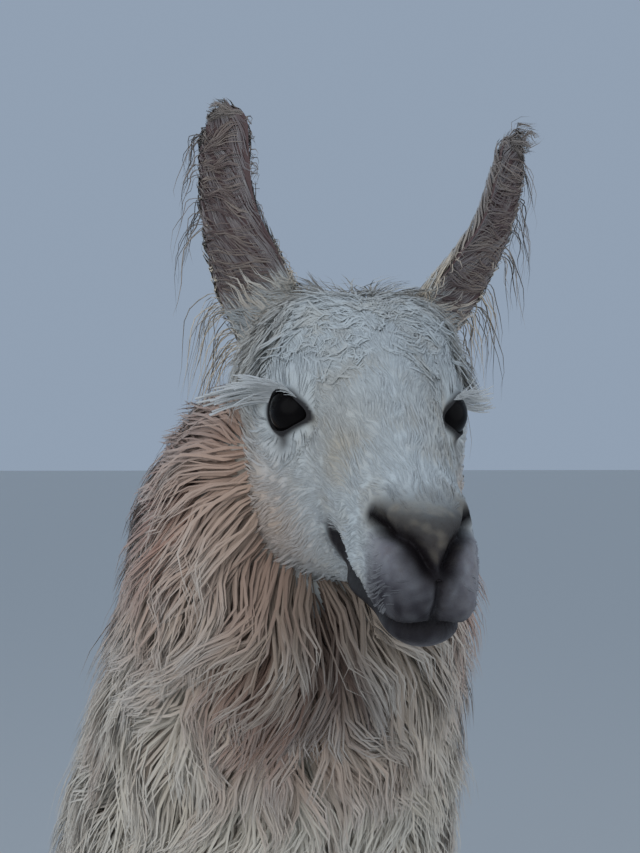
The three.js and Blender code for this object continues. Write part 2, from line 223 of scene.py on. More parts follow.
# ---- forms: every part of the body as a smooth surface --------------------------------------------
# A form gives the skin's point at (t, a): t runs along the part from 0 to 1, and a is the angle round it,
# from the back or top, towards the llama's left.
def carried(rows, t):
    """Reads a table of stations at t from 0 to 1, every column carried along a smooth curve."""
    rows = np.asarray(rows, float)
    padded = np.vstack([2 * rows[0] - rows[1], rows, 2 * rows[-1] - rows[-2]])
    place = np.clip(np.asarray(t, float), 0, 1) * (len(rows) - 1)
    low = np.minimum(place.astype(int), len(rows) - 2)
    w = (place - low)[..., None]
    p0, p1, p2, p3 = (padded[low + k] for k in range(4))
    return p1 + 0.5 * w * (p2 - p0 + w * (2 * p0 - 5 * p1 + 4 * p2 - p3 + w * (3 * (p1 - p2) + p3 - p0)))


def power(value, exponent):
    """A power that keeps the sign, which makes the rings of a form squarer or rounder."""
    return np.sign(value) * np.abs(value) ** exponent


def soft(value, low, high):
    """0 below low, 1 above high, with a soft step between."""
    share = np.clip((value - low) / (high - low), 0, 1)
    return share * share * (3 - 2 * share)


def bell(distance, reach):
    """1 at no distance, falling softly to nothing well past its reach."""
    return np.exp(-((distance / reach) ** 2))


def unit(vectors):
    return vectors / np.maximum(np.linalg.norm(vectors, axis=-1, keepdims=True), 1e-12)


def along_axes(x, y, z):
    """Points or ways from their three coordinates, each an array or one number for all."""
    return np.stack(np.broadcast_arrays(x, y, z), -1)


def closeness(points, centre, reach, squash=(1, 1, 1)):
    """1 at the centre, fading over the reach; squash below 1 stretches the patch along that axis."""
    return bell(np.linalg.norm((points - np.array(centre)) * squash, axis=-1), reach)


def to_frame(points_mm):
    """Millimetres of the body's tables as metres in the shared frame."""
    return points_mm * MM + FRAME_SHIFT


BELLY = 590
WITHERS = 1155
BARREL_HALF = 252
NECK_LEAN = 18
BARREL_ROUND = 0.92
LEG_ROUND = 0.95
# back y, back z, belly y, belly z, half width, lean, depth of the wool
TORSO = [
    (590, 980, 588, 885, 55, 0, 22),
    (558, 1062, 545, 775, 138, 0, 34),
    (465, 1122, 450, BELLY + 85, 203, 0, 42),
    (310, 1145, 310, BELLY + 30, 242, 0, 46),
    (110, 1138, 110, BELLY, BARREL_HALF, 0, 48),
    (-90, 1136, -110, BELLY, BARREL_HALF, 0, 48),
    (-235, WITHERS, -310, BELLY + 18, 242, 0, 50),
    (-325, 1188, -470, BELLY + 95, 232, 0, 54),
    (-376, 1244, -575, BELLY + 235, 228, 0, 60),
    (-412, 1310, -645, 975, 222, 0.1, 64),
    (-445, 1375, -702, 1115, 205, 0.35, 64),
    (-478, 1445, -752, 1235, 189, 0.55, 62),
    (-508, 1520, -792, 1335, 180, 0.5, 60),
    (-547, 1570, -800, 1425, 156, 0.35, 56),
    (-612, 1606, -778, 1492, 116, 0.1, 46),
    (-650, 1597, -752, 1530, 80, 0.1, 40),
]


def torso_form(t, a):
    """The skin of trunk and neck, under the wool."""
    s = carried(TORSO, t)
    back = np.stack([s[..., 5] * NECK_LEAN, s[..., 0], s[..., 1]], -1)
    belly = np.stack([s[..., 5] * NECK_LEAN, s[..., 2], s[..., 3]], -1)
    rise = np.linalg.norm(back - belly, axis=-1) / 2 - s[..., 6]
    points = (back + belly) / 2 + unit(back - belly) * (rise * power(np.cos(a), BARREL_ROUND))[..., None]
    points[..., 0] += (s[..., 4] - s[..., 6]) * power(np.sin(a), BARREL_ROUND)
    return to_frame(points)


# y, z, half width; the last column is the wool's depth
TAIL = [(520, 1075, 40, 16), (600, 1062, 47, 20), (655, 1000, 56, 26), (672, 905, 60, 30), (664, 815, 40, 22),
        (660, 780, 12, 8)]


def tail_form(t, a):
    """The skin of the tail, bent down over the rump."""
    s = carried(TAIL, t)
    spine = np.array(TAIL)[:, :2]
    ahead = unit(carried(spine, np.minimum(t + 0.02, 1)) - carried(spine, np.maximum(t - 0.02, 0)))
    half = np.maximum(s[..., 2] - s[..., 3], 3)
    front = half * 0.85 * np.cos(a)
    return to_frame(np.stack([half * 1.05 * np.sin(a), s[..., 0] - ahead[..., 1] * front,
                              s[..., 1] + ahead[..., 0] * front], -1))


ANKLE = 78
# height, y from the foot, outward from the foot, half width, half depth, depth of the coat
FORELEG = [(830, 34, 2, 92, 130, 30), (690, 26, 2, 88, 118, 28), (570, 10, 2, 66, 80, 20),
           (470, 0, 0, 51, 58, 11), (372, -4, 0, 46, 51, 6), (290, 2, 0, 35, 39, 4), (180, 4, 0, 31, 36, 3.5),
           (115, 0, 0, 36, 42, 3.5), (ANKLE, -9, 0, 39, 44, 3)]
HINDLEG = [(900, -40, 6, 92, 120, 28), (780, -46, 12, 104, 150, 34), (660, -44, 8, 86, 128, 28),
           (560, -8, 3, 62, 88, 18), (470, 34, 0, 46, 62, 9), (420, 42, 0, 41, 52, 6),
           (320, 30, 0, 34, 40, 4), (190, 14, 0, 31, 36, 3.5), (115, 4, 0, 36, 42, 3.5),
           (ANKLE, -6, 0, 39, 44, 3)]
# stations, x and y of the foot
LEGS = {"foreleg_right": (FORELEG, -118, -372), "foreleg_left": (FORELEG, 118, -372),
        "hindleg_right": (HINDLEG, -122, 385), "hindleg_left": (HINDLEG, 122, 385)}


def leg_form(stations, x, y):
    """The skin of a leg from the body down to the ankle, standing on a foot at (x, y)."""
    side = math.copysign(1, x)

    def form(t, a):
        s = carried(stations, t)
        across = x + side * s[..., 2] + (s[..., 3] - s[..., 5]) * power(np.sin(a), LEG_ROUND)
        back = y + s[..., 1] + (s[..., 4] - s[..., 5]) * power(np.cos(a), LEG_ROUND)
        return to_frame(np.stack([across, back, s[..., 0]], -1))
    return form


# ---- head, in its own frame: origin between the eyes, x to its left, y backwards, z up -------------
# y, top, bottom, height of the widest line, half width, fullness above it, fullness below
HEAD = [
    (150, 44, -70, -14, 48, 0.9, 1),
    (134, 76, -104, -18, 79, 0.66, 0.95),
    (100, 95, -134, -26, 94, 0.54, 0.78),
    (60, 98, -146, -36, 94, 0.56, 0.66),
    (24, 89, -141, -46, 83, 0.68, 0.68),
    (-8, 68, -128, -50, 66, 0.86, 0.76),
    (-42, 44, -112, -50, 51, 0.88, 0.9),
    (-78, 18, -106, -56, 44, 0.9, 0.88),
    (-112, -6, -105, -64, 38, 0.9, 0.86),
    (-142, -24, -116, -72, 34, 0.85, 0.82),
    (-164, -37, -119, -78, 32, 0.85, 0.82),
    (-180, -52, -111, -80, 25, 0.9, 0.9),
    (-188, -68, -96, -80, 13, 1, 1),
]
# Soft swellings and hollows on both sides: centre, reach, push.
SWELLINGS = {
    "eye socket": ((62, 2, 2), 26, (7, -2, 0)),
    "brow": ((60, -8, 24), 17, (4, -3, 2)),
    "tear furrow": ((50, -32, -8), 13, (-5, 3, -1)),
    "cheek bone": ((60, -22, -42), 22, (2, -1, 0)),
    "jaw muscle": ((62, 50, -80), 40, (5, 0, -2)),
    "nostril wing": ((33, -150, -44), 13, (3, -1, 2)),
    "nose pad": ((0, -178, -55), 12, (0, -3, 2)),
    "lip lobe": ((15, -184, -90), 11, (2, -5, -1)),
    "chin": ((0, -178, -118), 19, (0, 6, -5)),
    "lower lip": ((27, -118, -97), 18, (9, 0, -3)),
    "bridge flat": ((0, -90, 10), 26, (0, 0, -2)),
    "temple": ((70, 30, 40), 24, (-4, 0, 0)),
}


def on_side(y, z):
    """A point of the head's plain side at that place along it and that height."""
    fine = np.linspace(0, 1, 400)
    row = carried(HEAD, np.interp(-y, -carried(HEAD, fine)[:, 0], fine))
    tall, fullness = (row[1] - row[3], row[5]) if z > row[3] else (row[3] - row[2], row[6])
    share = min(abs(z - row[3]) / tall, 1)
    return row[4] * (1 - share ** (2 / fullness)) ** (fullness / 2), y, z


# Narrow folds pressed into the surface along a line: points, half width and depth at start and end.
FOLDS = {
    "nostril": ([(31, -153, -47), (26, -161, -52), (20, -169, -56), (13, -179, -59), (7, -186, -67),
                 (2, -189, -75)], (5.6, 2.6), (15, 5)),
    "lip cleft": ([(0, -192, -75), (0, -194, -88), (0, -190, -104)], (2.4, 2.8), (4, 5)),
    "mouth": ([on_side(-82, -72), on_side(-102, -80), on_side(-120, -87), on_side(-140, -96),
               on_side(-158, -103), on_side(-174, -106), (10, -187, -106), (0, -191, -105)],
              (6.4, 3.0), (13, 8)),
}
# The line of a painted shadow over the lower lip and the flank of the jaw, seen below and behind the line of
# the mouth.
LIP_SHADOW_LINE = ([(37, -78, -76), (33, -86, -83), (29, -98, -90), (26, -112, -94), (25, -128, -100),
              (23, -142, -105), (20, -158, -110)], (0, 0), (0, 0))
LID_CREASES = {
    "upper": ([(50, -32, 6), (62, -16, 22), (72, 2, 25), (78, 20, 16)], (2.4, 2.4), (1.6, 1.2)),
    "lower": ([(48, -30, -8), (60, -20, -20), (70, 0, -23), (76, 18, -16)], (2.8, 2.8), (1.4, 1.0)),
}
# Depth of the head's coat: the short hair that is everywhere, then centre, reach and depth added to it.
FACE_COAT = 2.2
HEAD_WOOL = [((0, 95, 85), 52, 14), ((74, 76, 62), 36, 12), ((92, 80, -70), 56, 11), ((0, 70, -150), 60, 14),
             ((45, 30, -120), 40, 8), ((0, 150, 0), 60, 22)]


def mirrored(q):
    """Folds both sides of the head onto the left one."""
    return np.stack([np.abs(q[..., 0]), q[..., 1], q[..., 2]], -1)


def head_wool_depth(q):
    """How deep the coat is over a point of the head's outer shape."""
    folded = mirrored(q)
    depth = np.full(q.shape[:-1], FACE_COAT)
    for centre, reach, more in HEAD_WOOL:
        depth += more * closeness(folded, centre, reach)
    return depth


def head_core(q):
    """The point deep in the head that folds are pressed towards."""
    return np.stack([np.zeros(q.shape[:-1]), np.maximum(q[..., 1] + 14, -160), q[..., 2] * 0.4 - 46], -1)


def between_ends(ends, where):
    return ends[0] + (ends[1] - ends[0]) * where


def near_fold(q, fold, finely=28):
    """Distance from a fold's line, or from the floor of the fold below it, and the place along it."""
    points, _, depths = fold
    steps = np.linspace(0, 1, finely)
    line = carried(points, steps)
    inward = unit(head_core(line) - line)
    best = np.full(q.shape[:-1], 1e9)
    where = np.zeros(q.shape[:-1])
    for step, point, way in zip(steps, line, inward):
        away = q - point
        sunk = np.clip(away @ way, 0, between_ends(depths, step) + 3)
        distance = np.linalg.norm(away - sunk[..., None] * way, axis=-1)
        nearer = distance < best
        best = np.where(nearer, distance, best)
        where = np.where(nearer, step, where)
    return best, where


EYE_AIM = np.array([math.sin(EYE_FACING), -math.cos(EYE_FACING), 0.0])
LID_THICKNESS = 2.4


def hug_eyes(q):
    """Draws the surface near an eye onto a lid that follows the eyeball."""
    folded = mirrored(q)
    away = folded - EYE_CENTRE
    reach = np.linalg.norm(away, axis=-1)
    facing = unit(away) @ EYE_AIM
    share = soft(facing, 0.15, 0.62)
    lid = EYE_RADIUS + LID_THICKNESS
    drawn = np.asarray(EYE_CENTRE) + unit(away) * lid
    blended = folded + (drawn - folded) * (share * soft(reach, lid + 16, lid + 2))[..., None]
    blended[..., 0] = blended[..., 0] * np.sign(q[..., 0] + 1e-9)
    return blended


def swollen(q):
    """Pushes a point of the head's plain shape by the swellings on both sides."""
    moved = q.copy()
    for centre, reach, push in SWELLINGS.values():
        for side in ((-1, 1) if centre[0] else (1,)):
            flip = np.array([side, 1, 1])
            moved += closeness(q, flip * centre, reach)[..., None] * (flip * push)
    return moved


def unswollen(q):
    """About where a point of the finished head lay before the swellings, with both sides folded together."""
    plain = q
    for _ in range(2):
        plain = q - (swollen(plain) - plain)
    return mirrored(plain)


def sculpted(q):
    """Adds the swellings, folds and lids to a point of the head's plain shape."""
    moved = hug_eyes(swollen(q))
    inward = unit(head_core(moved) - moved)
    press = np.zeros(q.shape[:-1])
    for folds, place in ((FOLDS, mirrored(q)), (LID_CREASES, mirrored(moved))):
        for fold in folds.values():
            distance, where = near_fold(place, fold)
            wide, deep = between_ends(fold[1], where), between_ends(fold[2], where)
            press = np.maximum(press, deep * soft(where, -0.02, 0.1) * bell(distance, wide))
    return moved + inward * press[..., None]


def head_way(direction):
    """A direction of the head's frame, in the shared frame."""
    return direction @ np.array(HEAD_AXES).T


def head_to_frame(q):
    return head_way(q * HEAD_SIZE * MM) + np.array(HEAD_ORIGIN)


def frame_to_head(points):
    return ((points - np.array(HEAD_ORIGIN)) @ np.array(HEAD_AXES)) / (HEAD_SIZE * MM)


SNOUT = 0.93


def head_outer(t, a, out=0.0):
    """The head's outer shape. Past SNOUT the last slice closes over the tip of the muzzle."""
    s = carried(HEAD, np.clip(t / SNOUT, 0, 1))
    shrink = 1 - np.clip((t - SNOUT) / (1 - SNOUT), 0, 0.995)
    upper = np.cos(a) > 0
    fullness = np.where(upper, s[..., 5], s[..., 6])
    tall = np.where(upper, s[..., 1] - s[..., 3], s[..., 3] - s[..., 2]) + out
    across = (s[..., 4] + out) * power(np.sin(a), fullness)
    rise = tall * power(np.cos(a), fullness)
    return np.stack([across * shrink, s[..., 0] - 5.5 * (1 - shrink ** 2), s[..., 3] + rise * shrink], -1)


def head_form(t, a):
    """The skin of the head, under the coat, in the shared frame."""
    plain = head_outer(t, a)
    return head_to_frame(sculpted(head_outer(t, a, -head_wool_depth(plain))))


# ---- ears, in the head's frame --------------------------------------------------------------------
EAR_LENGTH = 190
# up the ear, outward, backward, half breadth, depth of the cup, thickness
EAR = [(-0.1, -8, 4, 26, 18, 14), (0.12, 4, 2, 36, 26, 10), (0.32, 19, 0, 33, 22, 8),
       (0.56, 33, 2, 25, 16, 7), (0.79, 36, 6, 23, 12, 6), (0.9, 34, 9, 20, 8, 6), (0.955, 33, 10, 15, 5, 6),
       (0.98, 32, 11, 7, 2, 4.4)]
# side, foot of the ear, lean outwards and turn of its opening, in radians
EARS = {"ear_left": (1, (70, 90, 58), 0.2, 0.75), "ear_right": (-1, (-70, 90, 58), 0.02, 0.4)}
EAR_COAT = 1.6


def ear_form(side, place, lean, opened):
    """A long cupped ear that stands on the head and leans outwards."""
    across = np.array([math.cos(opened), side * math.sin(opened), 0])
    behind = np.array([-side * math.sin(opened), math.cos(opened), 0])
    swing = side * lean

    def form(t, a):
        s = carried(EAR, t)
        share = np.sin(a)
        half = s[..., 3] - EAR_COAT
        thick = s[..., 5] / 2 - EAR_COAT
        middle = np.stack([side * s[..., 1], s[..., 2], s[..., 0] * EAR_LENGTH], -1)
        p = (middle + across * (half * share)[..., None]
             + behind * (s[..., 4] * (1 - share ** 2) + thick * power(np.cos(a), 0.7))[..., None])
        x, y, z = p[..., 0], p[..., 1], p[..., 2]
        turned = np.stack([x * math.cos(swing) + z * math.sin(swing), y,
                           -x * math.sin(swing) + z * math.cos(swing)], -1)
        return head_to_frame(turned + place)
    return form


# ---- feet -----------------------------------------------------------------------------------------
TOE_LENGTH = 106
TOE_HALF = 24
TOE_SPREAD = 24.5
TOE_SPLAY = 0.09
TOE_FORWARD = 30
TOE_ROUND = 0.8
TOE_COAT = 1
# along the toe from heel to tip, share of the half width, height
TOE = [(-0.52, 0.45, 22), (-0.36, 0.95, 44), (-0.06, 1.0, 56), (0.26, 0.92, 40), (0.5, 0.5, 20)]
# back from the foot, height, half width, half depth
PASTERN = [(9, ANKLE + 6, 37, 42), (9, ANKLE, 37, 42), (15, ANKLE - 25, 39, 44), (17, ANKLE - 56, 25, 28)]


def on_toe(foot, side, across, back, height):
    """Points given from the middle of a toe, set on its side of the foot and splayed a little."""
    x, y, turn = foot[0] + side * TOE_SPREAD, foot[1] - TOE_FORWARD, side * TOE_SPLAY
    return to_frame(np.stack([across * math.cos(turn) - back * math.sin(turn) + x,
                              across * math.sin(turn) + back * math.cos(turn) + y, height], -1))


def toe_form(foot, side):
    def form(t, a):
        s = carried(TOE, t)
        across = (s[..., 1] * TOE_HALF - TOE_COAT) * power(np.sin(a), TOE_ROUND)
        height = s[..., 2] * (0.28 + 0.72 * power(np.cos(a), TOE_ROUND)) - TOE_COAT
        return on_toe(foot, side, across, -s[..., 0] * TOE_LENGTH, np.maximum(height, 0))
    return form


def pastern_form(x, y):
    """The short piece between ankle and toes."""
    def form(t, a):
        s = carried(PASTERN, t)
        return to_frame(np.stack([x + s[..., 2] * np.sin(a), y - s[..., 0] + s[..., 3] * np.cos(a),
                                  s[..., 1]], -1))
    return form


NAIL_HALF = 10.5
NAIL_LENGTH = 26
NAIL_HEIGHT = 17
NAIL_RIDGES = 9


def nail_form(foot, side):
    """A blunt horn nail, ridged along its back, over the front of a toe."""
    def form(t, a):
        half = NAIL_HALF * np.cos(t * 1.25) + 1.2 + 0.25 * np.cos(a * NAIL_RIDGES) * (1 - t)
        return on_toe(foot, side, half * np.sin(a), -0.36 * TOE_LENGTH - NAIL_LENGTH * t,
                      NAIL_HEIGHT - 5 * t * t + half * 0.85 * np.cos(a))
    return form


# ---- making meshes --------------------------------------------------------------------------------
def shade_smooth(mesh):
    mesh.polygons.foreach_set("use_smooth", np.full(len(mesh.polygons), True))


def mesh_object(name, points, faces):
    mesh = bpy.data.meshes.new(name)
    mesh.from_pydata(points.tolist(), [], faces)
    shade_smooth(mesh)
    return put_in_scene(name, mesh)


def lofted(name, form, places, angles):
    """A closed mesh through a form's rings, with a point at the middle of each end."""
    t, a = np.meshgrid(places, angles, indexing="ij")
    rings = form(t, a)
    count = len(angles)
    points = np.vstack([rings.reshape(-1, 3), rings[0].mean(0), rings[-1].mean(0)])
    first, last, top = len(points) - 2, len(points) - 1, (len(places) - 1) * count
    turns = [(i, (i + 1) % count) for i in range(count)]
    faces = [(low + i, low + j, low + count + j, low + count + i)
             for low in range(0, top, count) for i, j in turns]
    for i, j in turns:
        faces += [(first, j, i), (last, top + i, top + j)]
    made = mesh_object(name, points, faces)
    turn_outwards(made)
    return made


def turn_outwards(made):
    """Makes every face of a closed mesh point outwards."""
    working = bmesh.new()
    working.from_mesh(made.data)
    bmesh.ops.recalc_face_normals(working, faces=working.faces)
    if working.calc_volume(signed=True) < 0:
        bmesh.ops.reverse_faces(working, faces=working.faces)
    working.to_mesh(made.data)
    working.free()


def round_about(count):
    """Even angles all round a form."""
    return np.arange(count) / count * TAU


def dense(low, high, count, peaks):
    """Places from low to high, packed closer together round each peak of (place, reach, extra)."""
    line = np.linspace(low, high, 800)
    weight = 1 + sum(more * bell(line - place, reach) for place, reach, more in peaks)
    total = np.concatenate([[0], np.cumsum((weight[1:] + weight[:-1]) / 2)])
    return np.interp(np.linspace(0, total[-1], count), total, line)


def settled(made):
    """Turns what the modifiers show into the object's own mesh."""
    graph = bpy.context.evaluated_depsgraph_get()
    mesh = bpy.data.meshes.new_from_object(made.evaluated_get(graph))
    made.modifiers.clear()
    made.data = mesh
    return made


def combined(operation, body, *others):
    """Joins or cuts closed meshes one after another."""
    for other in others:
        step = body.modifiers.new("cut", "BOOLEAN")
        step.operation = operation
        step.solver = "MANIFOLD"
        step.object = other
        settled(body)
        bpy.data.objects.remove(other)
    return body


def remeshed(made, voxel, rounds):
    """Melts crossing forms into one closed surface and smooths it."""
    step = made.modifiers.new("melt", "REMESH")
    step.mode = "VOXEL"
    step.voxel_size = voxel
    step.use_smooth_shade = True
    soften = made.modifiers.new("soften", "SMOOTH")
    soften.factor = 0.5
    soften.iterations = rounds
    return settled(made)


def joined(name, pieces):
    """One object holding several closed meshes, which may cross."""
    working = bmesh.new()
    for piece in pieces:
        working.from_mesh(piece.data)
        bpy.data.objects.remove(piece)
    mesh = bpy.data.meshes.new(name)
    working.to_mesh(mesh)
    working.free()
    return put_in_scene(name, mesh)


# ---- the skin -------------------------------------------------------------------------------------
LID_OPENING = (20.3, 15.5, 14.5)
TEAR_CORNER = 5.0
# along the line of sight from the eye's middle, share of the opening's size
LID_TUNNEL = [(3, 0.8), (14, 0.95), (20.5, 1.0), (24, 1.06), (32, 1.2), (60, 1.5)]
CORNEA_RISE = 0.9
BALL_ROOM = 0.35
BODY_VOXEL = 0.0122
SHIN_VOXEL = 0.0047
# how far down a leg the body's mesh reaches, and where the shin's begins inside it
BODY_ENDS = 0.62
SHIN_BEGINS = 0.56


def eye_axes(side):
    """An eye's line of sight, the way to its front corner, and up, in the head's frame."""
    return (np.array([side * math.sin(EYE_FACING), -math.cos(EYE_FACING), 0]),
            np.array([-side * math.cos(EYE_FACING), -math.sin(EYE_FACING), 0]), np.array([0, 0, 1.0]))


def eye_place(side):
    return np.array([side * EYE_CENTRE[0], EYE_CENTRE[1], EYE_CENTRE[2]], float)


def lid_outline(angles):
    """The almond between the lids, with its pointed tear corner in front: forward and up, in mm."""
    half, above, below = LID_OPENING
    front = np.maximum(np.cos(angles), 0)
    forward = half * np.cos(angles) + TEAR_CORNER * front ** 8
    raised = np.where(np.sin(angles) > 0, above, below) * power(np.sin(angles), 0.86)
    return forward, raised * (1 - 0.22 * front ** 3) - 1.5 * front ** 6


def around_sight(side, along, forward, up):
    """Points about an eye's line of sight, in the shared frame."""
    sight, front, above = eye_axes(side)
    p = eye_place(side) + sight * along[..., None] + front * forward[..., None] + above * up[..., None]
    return head_to_frame(p)


def lid_cutter(side):
    def form(t, a):
        along, size = np.moveaxis(carried(LID_TUNNEL, t), -1, 0)
        forward, raised = lid_outline(a)
        return around_sight(side, along, forward * size, raised * size)
    return lofted("lid_cutter", form, np.linspace(0, 1, 11), round_about(72))


def ball(name, side, radius, front=0.0):
    """A ball at an eye, its poles on the line of sight, with a front that stands out a little."""
    def form(t, a):
        polar = np.pi * np.clip(t, 0.004, 0.996)
        swell = radius + front * bell(polar, 0.55)
        wide = swell * np.sin(polar)
        return around_sight(side, swell * np.cos(polar), wide * np.cos(a), wide * np.sin(a))
    return lofted(name, form, np.linspace(0, 1, 48), round_about(64))


HEAD_RINGS = dense(0, 1, 168, [(0.36, 0.075, 1.6), (0.8, 0.1, 0.9), (0.97, 0.05, 1.0)])
half_round = dense(0, math.pi, 108, [(1.22, 0.35, 1.5), (2.7, 0.5, 0.4)])
HEAD_ANGLES = np.concatenate([half_round[:-1], TAU - half_round[:0:-1]])


def build_head():
    """The head with its eye openings cut and its ears grown on."""
    head = lofted("head_skin", head_form, HEAD_RINGS, HEAD_ANGLES)
    for side in (-1, 1):
        combined("DIFFERENCE", head, ball("ball_room", side, EYE_RADIUS + BALL_ROOM), lid_cutter(side))
    ears = [lofted(name, ear_form(*EARS[name]), np.linspace(0, 1, 60), round_about(40)) for name in EARS]
    return combined("UNION", head, *ears)


def build_body():
    """Trunk, neck, tail and upper legs, melted together."""
    parts = [lofted("torso", torso_form, np.linspace(0.004, 1, 70), round_about(60)),
             lofted("tail", tail_form, np.linspace(0, 1, 30), round_about(20))]
    for name, (stations, x, y) in LEGS.items():
        parts.append(lofted(name, leg_form(stations, x, y), np.linspace(0, BODY_ENDS, 30), round_about(32)))
    return remeshed(joined("body", parts), BODY_VOXEL, 5)


def build_shin(name):
    """A lower leg with its pastern and two toes, melted together."""
    stations, x, y = LEGS[name]
    parts = [lofted("shin", leg_form(stations, x, y), np.linspace(SHIN_BEGINS, 1, 30), round_about(36)),
             lofted("pastern", pastern_form(x, y), np.linspace(0, 1, 14), round_about(36))]
    for side in (-1, 1):
        parts.append(lofted("toe", toe_form((x, y), side), np.linspace(0, 1, 40), round_about(40)))
    return remeshed(joined("foot", parts), SHIN_VOXEL, 3)


skin = combined("UNION", build_body(), build_head(), *[build_shin(name) for name in LEGS])
skin.name = "skin"
skin.data.name = "skin"
shade_smooth(skin.data)
skin.data.set_sharp_from_angle(angle=math.radians(50))


# ---- markings: the same colours for skin and coat -------------------------------------------------
def colour(red, green, blue):
    """A colour given as on a paint chart, 0 to 255, as the linear values that shaders use."""
    share = np.array([red, green, blue]) / 255
    return np.where(share <= 0.04045, share / 12.92, ((share + 0.055) / 1.055) ** 2.4)


CREAM = colour(247, 230, 205)
PALE = colour(248, 237, 217)
RUST_AND_SHADE = colour(192, 141, 118)
WHITE = colour(216, 222, 221)
PEACH = colour(224, 196, 172)
BUFF = colour(204, 190, 166)
LIP_GREY = colour(146, 142, 148)
MAUVE = colour(43, 40, 45)
THROAT_SHADE = colour(76, 58, 50)
NOSE_BROWN = colour(68, 61, 55)
NOSE_TIP = colour(52, 50, 56)
DARK = colour(30, 25, 27)
EAR_SKIN = colour(114, 94, 92)
EAR_GREY = colour(132, 120, 116)
SHIN = colour(214, 204, 186)
FOOT = colour(168, 154, 136)


def patches(points, size, seed):
    """A soft wandering value from -1 to 1 over space, for uneven tone."""
    chance = np.random.default_rng(seed)
    total = np.zeros(points.shape[:-1])
    for _ in range(5):
        way = unit(chance.normal(size=3)) / size * chance.uniform(0.6, 1.6)
        bend = unit(chance.normal(size=3)) / size
        total += np.sin(TAU * (points @ way) + 1.7 * np.sin(TAU * (points @ bend)) + chance.uniform(0, TAU))
    return np.clip(total / 2.6, -1, 1)


def blend(base, paint, share):
    share = np.clip(share, 0, 1)[..., None]
    return base * (1 - share) + paint * share


def painted(points, base, paint, share):
    """One colour everywhere, with a second laid over it by a share."""
    return blend(np.broadcast_to(base, points.shape), paint, share)


def fleece_colour(points):
    """Cream wool, rust-coloured on the nape and a little on the breast, rust-coloured and darker behind the
    cheeks as rust partly painted over the shade there, and painted brown shade under the throat.
    """
    q = frame_to_head(points)
    low = soft(-points[..., 2], -1.45, -1.1)
    tone = painted(points, CREAM, PALE, 0.2 + 0.6 * low + 0.3 * patches(points, 0.22, 3))
    # rust on the nape, the breast and in random patches; behind the cheeks rust and painted shade where the
    # cheeks shadow the wool
    rust_and_cheek_shade = (0.95 * closeness(mirrored(q), (88, 125, -70), 84, (1, 0.8, 0.75))
             + 0.6 * closeness(q, (0, 190, -20), 84, (0.8, 0.8, 0.7))
             + 0.45 * closeness(q, (-34, 30, -194), 38, (0.8, 0.4, 0.8))
             + 0.36 * np.clip(patches(points, 0.11, 8), 0, 1))
    # painted shade: the wool under the jaw darkened to brown where the head shades it
    throat = closeness(q, (-26, 4, -150), 54, (1.1, 0.6, 0.9))
    return blend(blend(tone, RUST_AND_SHADE, rust_and_cheek_shade), THROAT_SHADE, 0.92 * throat)


# the upper part of the nose pad: height and half its width there
NOSE_PAD = [(-92, 0), (-76, 3), (-66, 11), (-54, 22), (-44, 29), (-36, 27)]


def muzzle_colour(tone, points):
    """Grey lips, mauve lower down and on the right, and a grey-brown nose pad with a darker tip."""
    q = frame_to_head(points)
    x, ahead, down = q[..., 0], -q[..., 1], -q[..., 2]
    aside = np.abs(x)
    mottled = 0.86 + 0.1 * patches(points, 0.014, 15)
    muzzle = soft(ahead, 144, 170) * soft(36 - aside, -8, 6)
    paler = 0.3 * soft(x, -6, 16) + 0.65 * soft(x, 12, 28)
    pad = soft(np.interp(-down, *zip(*NOSE_PAD)) - aside, -4, 3) * soft(ahead, 140, 158)
    pad *= soft(-down, -80, -72) * soft(down, 26, 50)
    for paint, share in ((LIP_GREY, muzzle * soft(down, 44, 62) * mottled),
                         (MAUVE, muzzle * soft(down, 58, 88) * mottled * (1 - paler)),
                         (NOSE_BROWN, 0.92 * pad),
                         (NOSE_TIP, pad * soft(down, 58, 74)),
                         (BUFF, 0.2 * pad * np.clip(patches(points, 0.016, 16), 0, 1)),
                         (LIP_GREY, 0.6 * muzzle * soft(down, 112, 124))):
        tone = blend(tone, paint, share)
    return tone


def painted_crease_shade(tone, q):
    """Painted shade in the nostrils, between the lips, in the lip cleft and below and behind the mouth, and
    dark lid rims with painted shade round the eyes.
    """
    folded = mirrored(q)
    # painted shade inside the nostrils
    nostril = closeness(folded, (14, -180, -66), 7) * (1 - 0.8 * soft(q[..., 0], -4, 6))
    tone = blend(tone, DARK, 0.9 * (nostril + closeness(folded, (7, -186, -73), 6)))
    plain = unswollen(q)
    # painted shade down the nostril slits, along the mouth line and in the lip cleft
    for name, reach, share in (("nostril", 6.4, 1.0), ("mouth", 7.4, 0.97), ("lip cleft", 2.6, 0.7)):
        tone = blend(tone, DARK, share * bell(near_fold(plain, FOLDS[name])[0], reach))
    # painted shadow below and behind the mouth, over the lower lip and the jaw's flank
    distance, where = near_fold(plain, LIP_SHADOW_LINE)
    tone = blend(tone, DARK, bell(distance, 12) * (1 - 0.4 * soft(where, 0.9, 1.0)))
    return blend(tone, DARK, 0.96 * lid_rim_and_shade(folded))


def face_colour(points):
    """White face with buff along the nose, peach cheeks, a grey-brown nose pad and mauve lips."""
    q = frame_to_head(points)
    folded = mirrored(q)
    tone = painted(points, WHITE, BUFF, 0.5 * closeness(folded, (34, -70, -14), 26, (1, 0.45, 0.7))
                   + 0.3 * np.clip(patches(points, 0.05, 5), 0, 1))
    cheek = 0.8 * closeness(folded, (88, 52, -80), 52) + 0.6 * closeness(folded, (66, -4, -88), 38)
    tone = blend(blend(tone, PEACH, cheek), CREAM, 0.4 * soft(q[..., 1], 10, 70))
    return painted_crease_shade(muzzle_colour(tone, points), q)


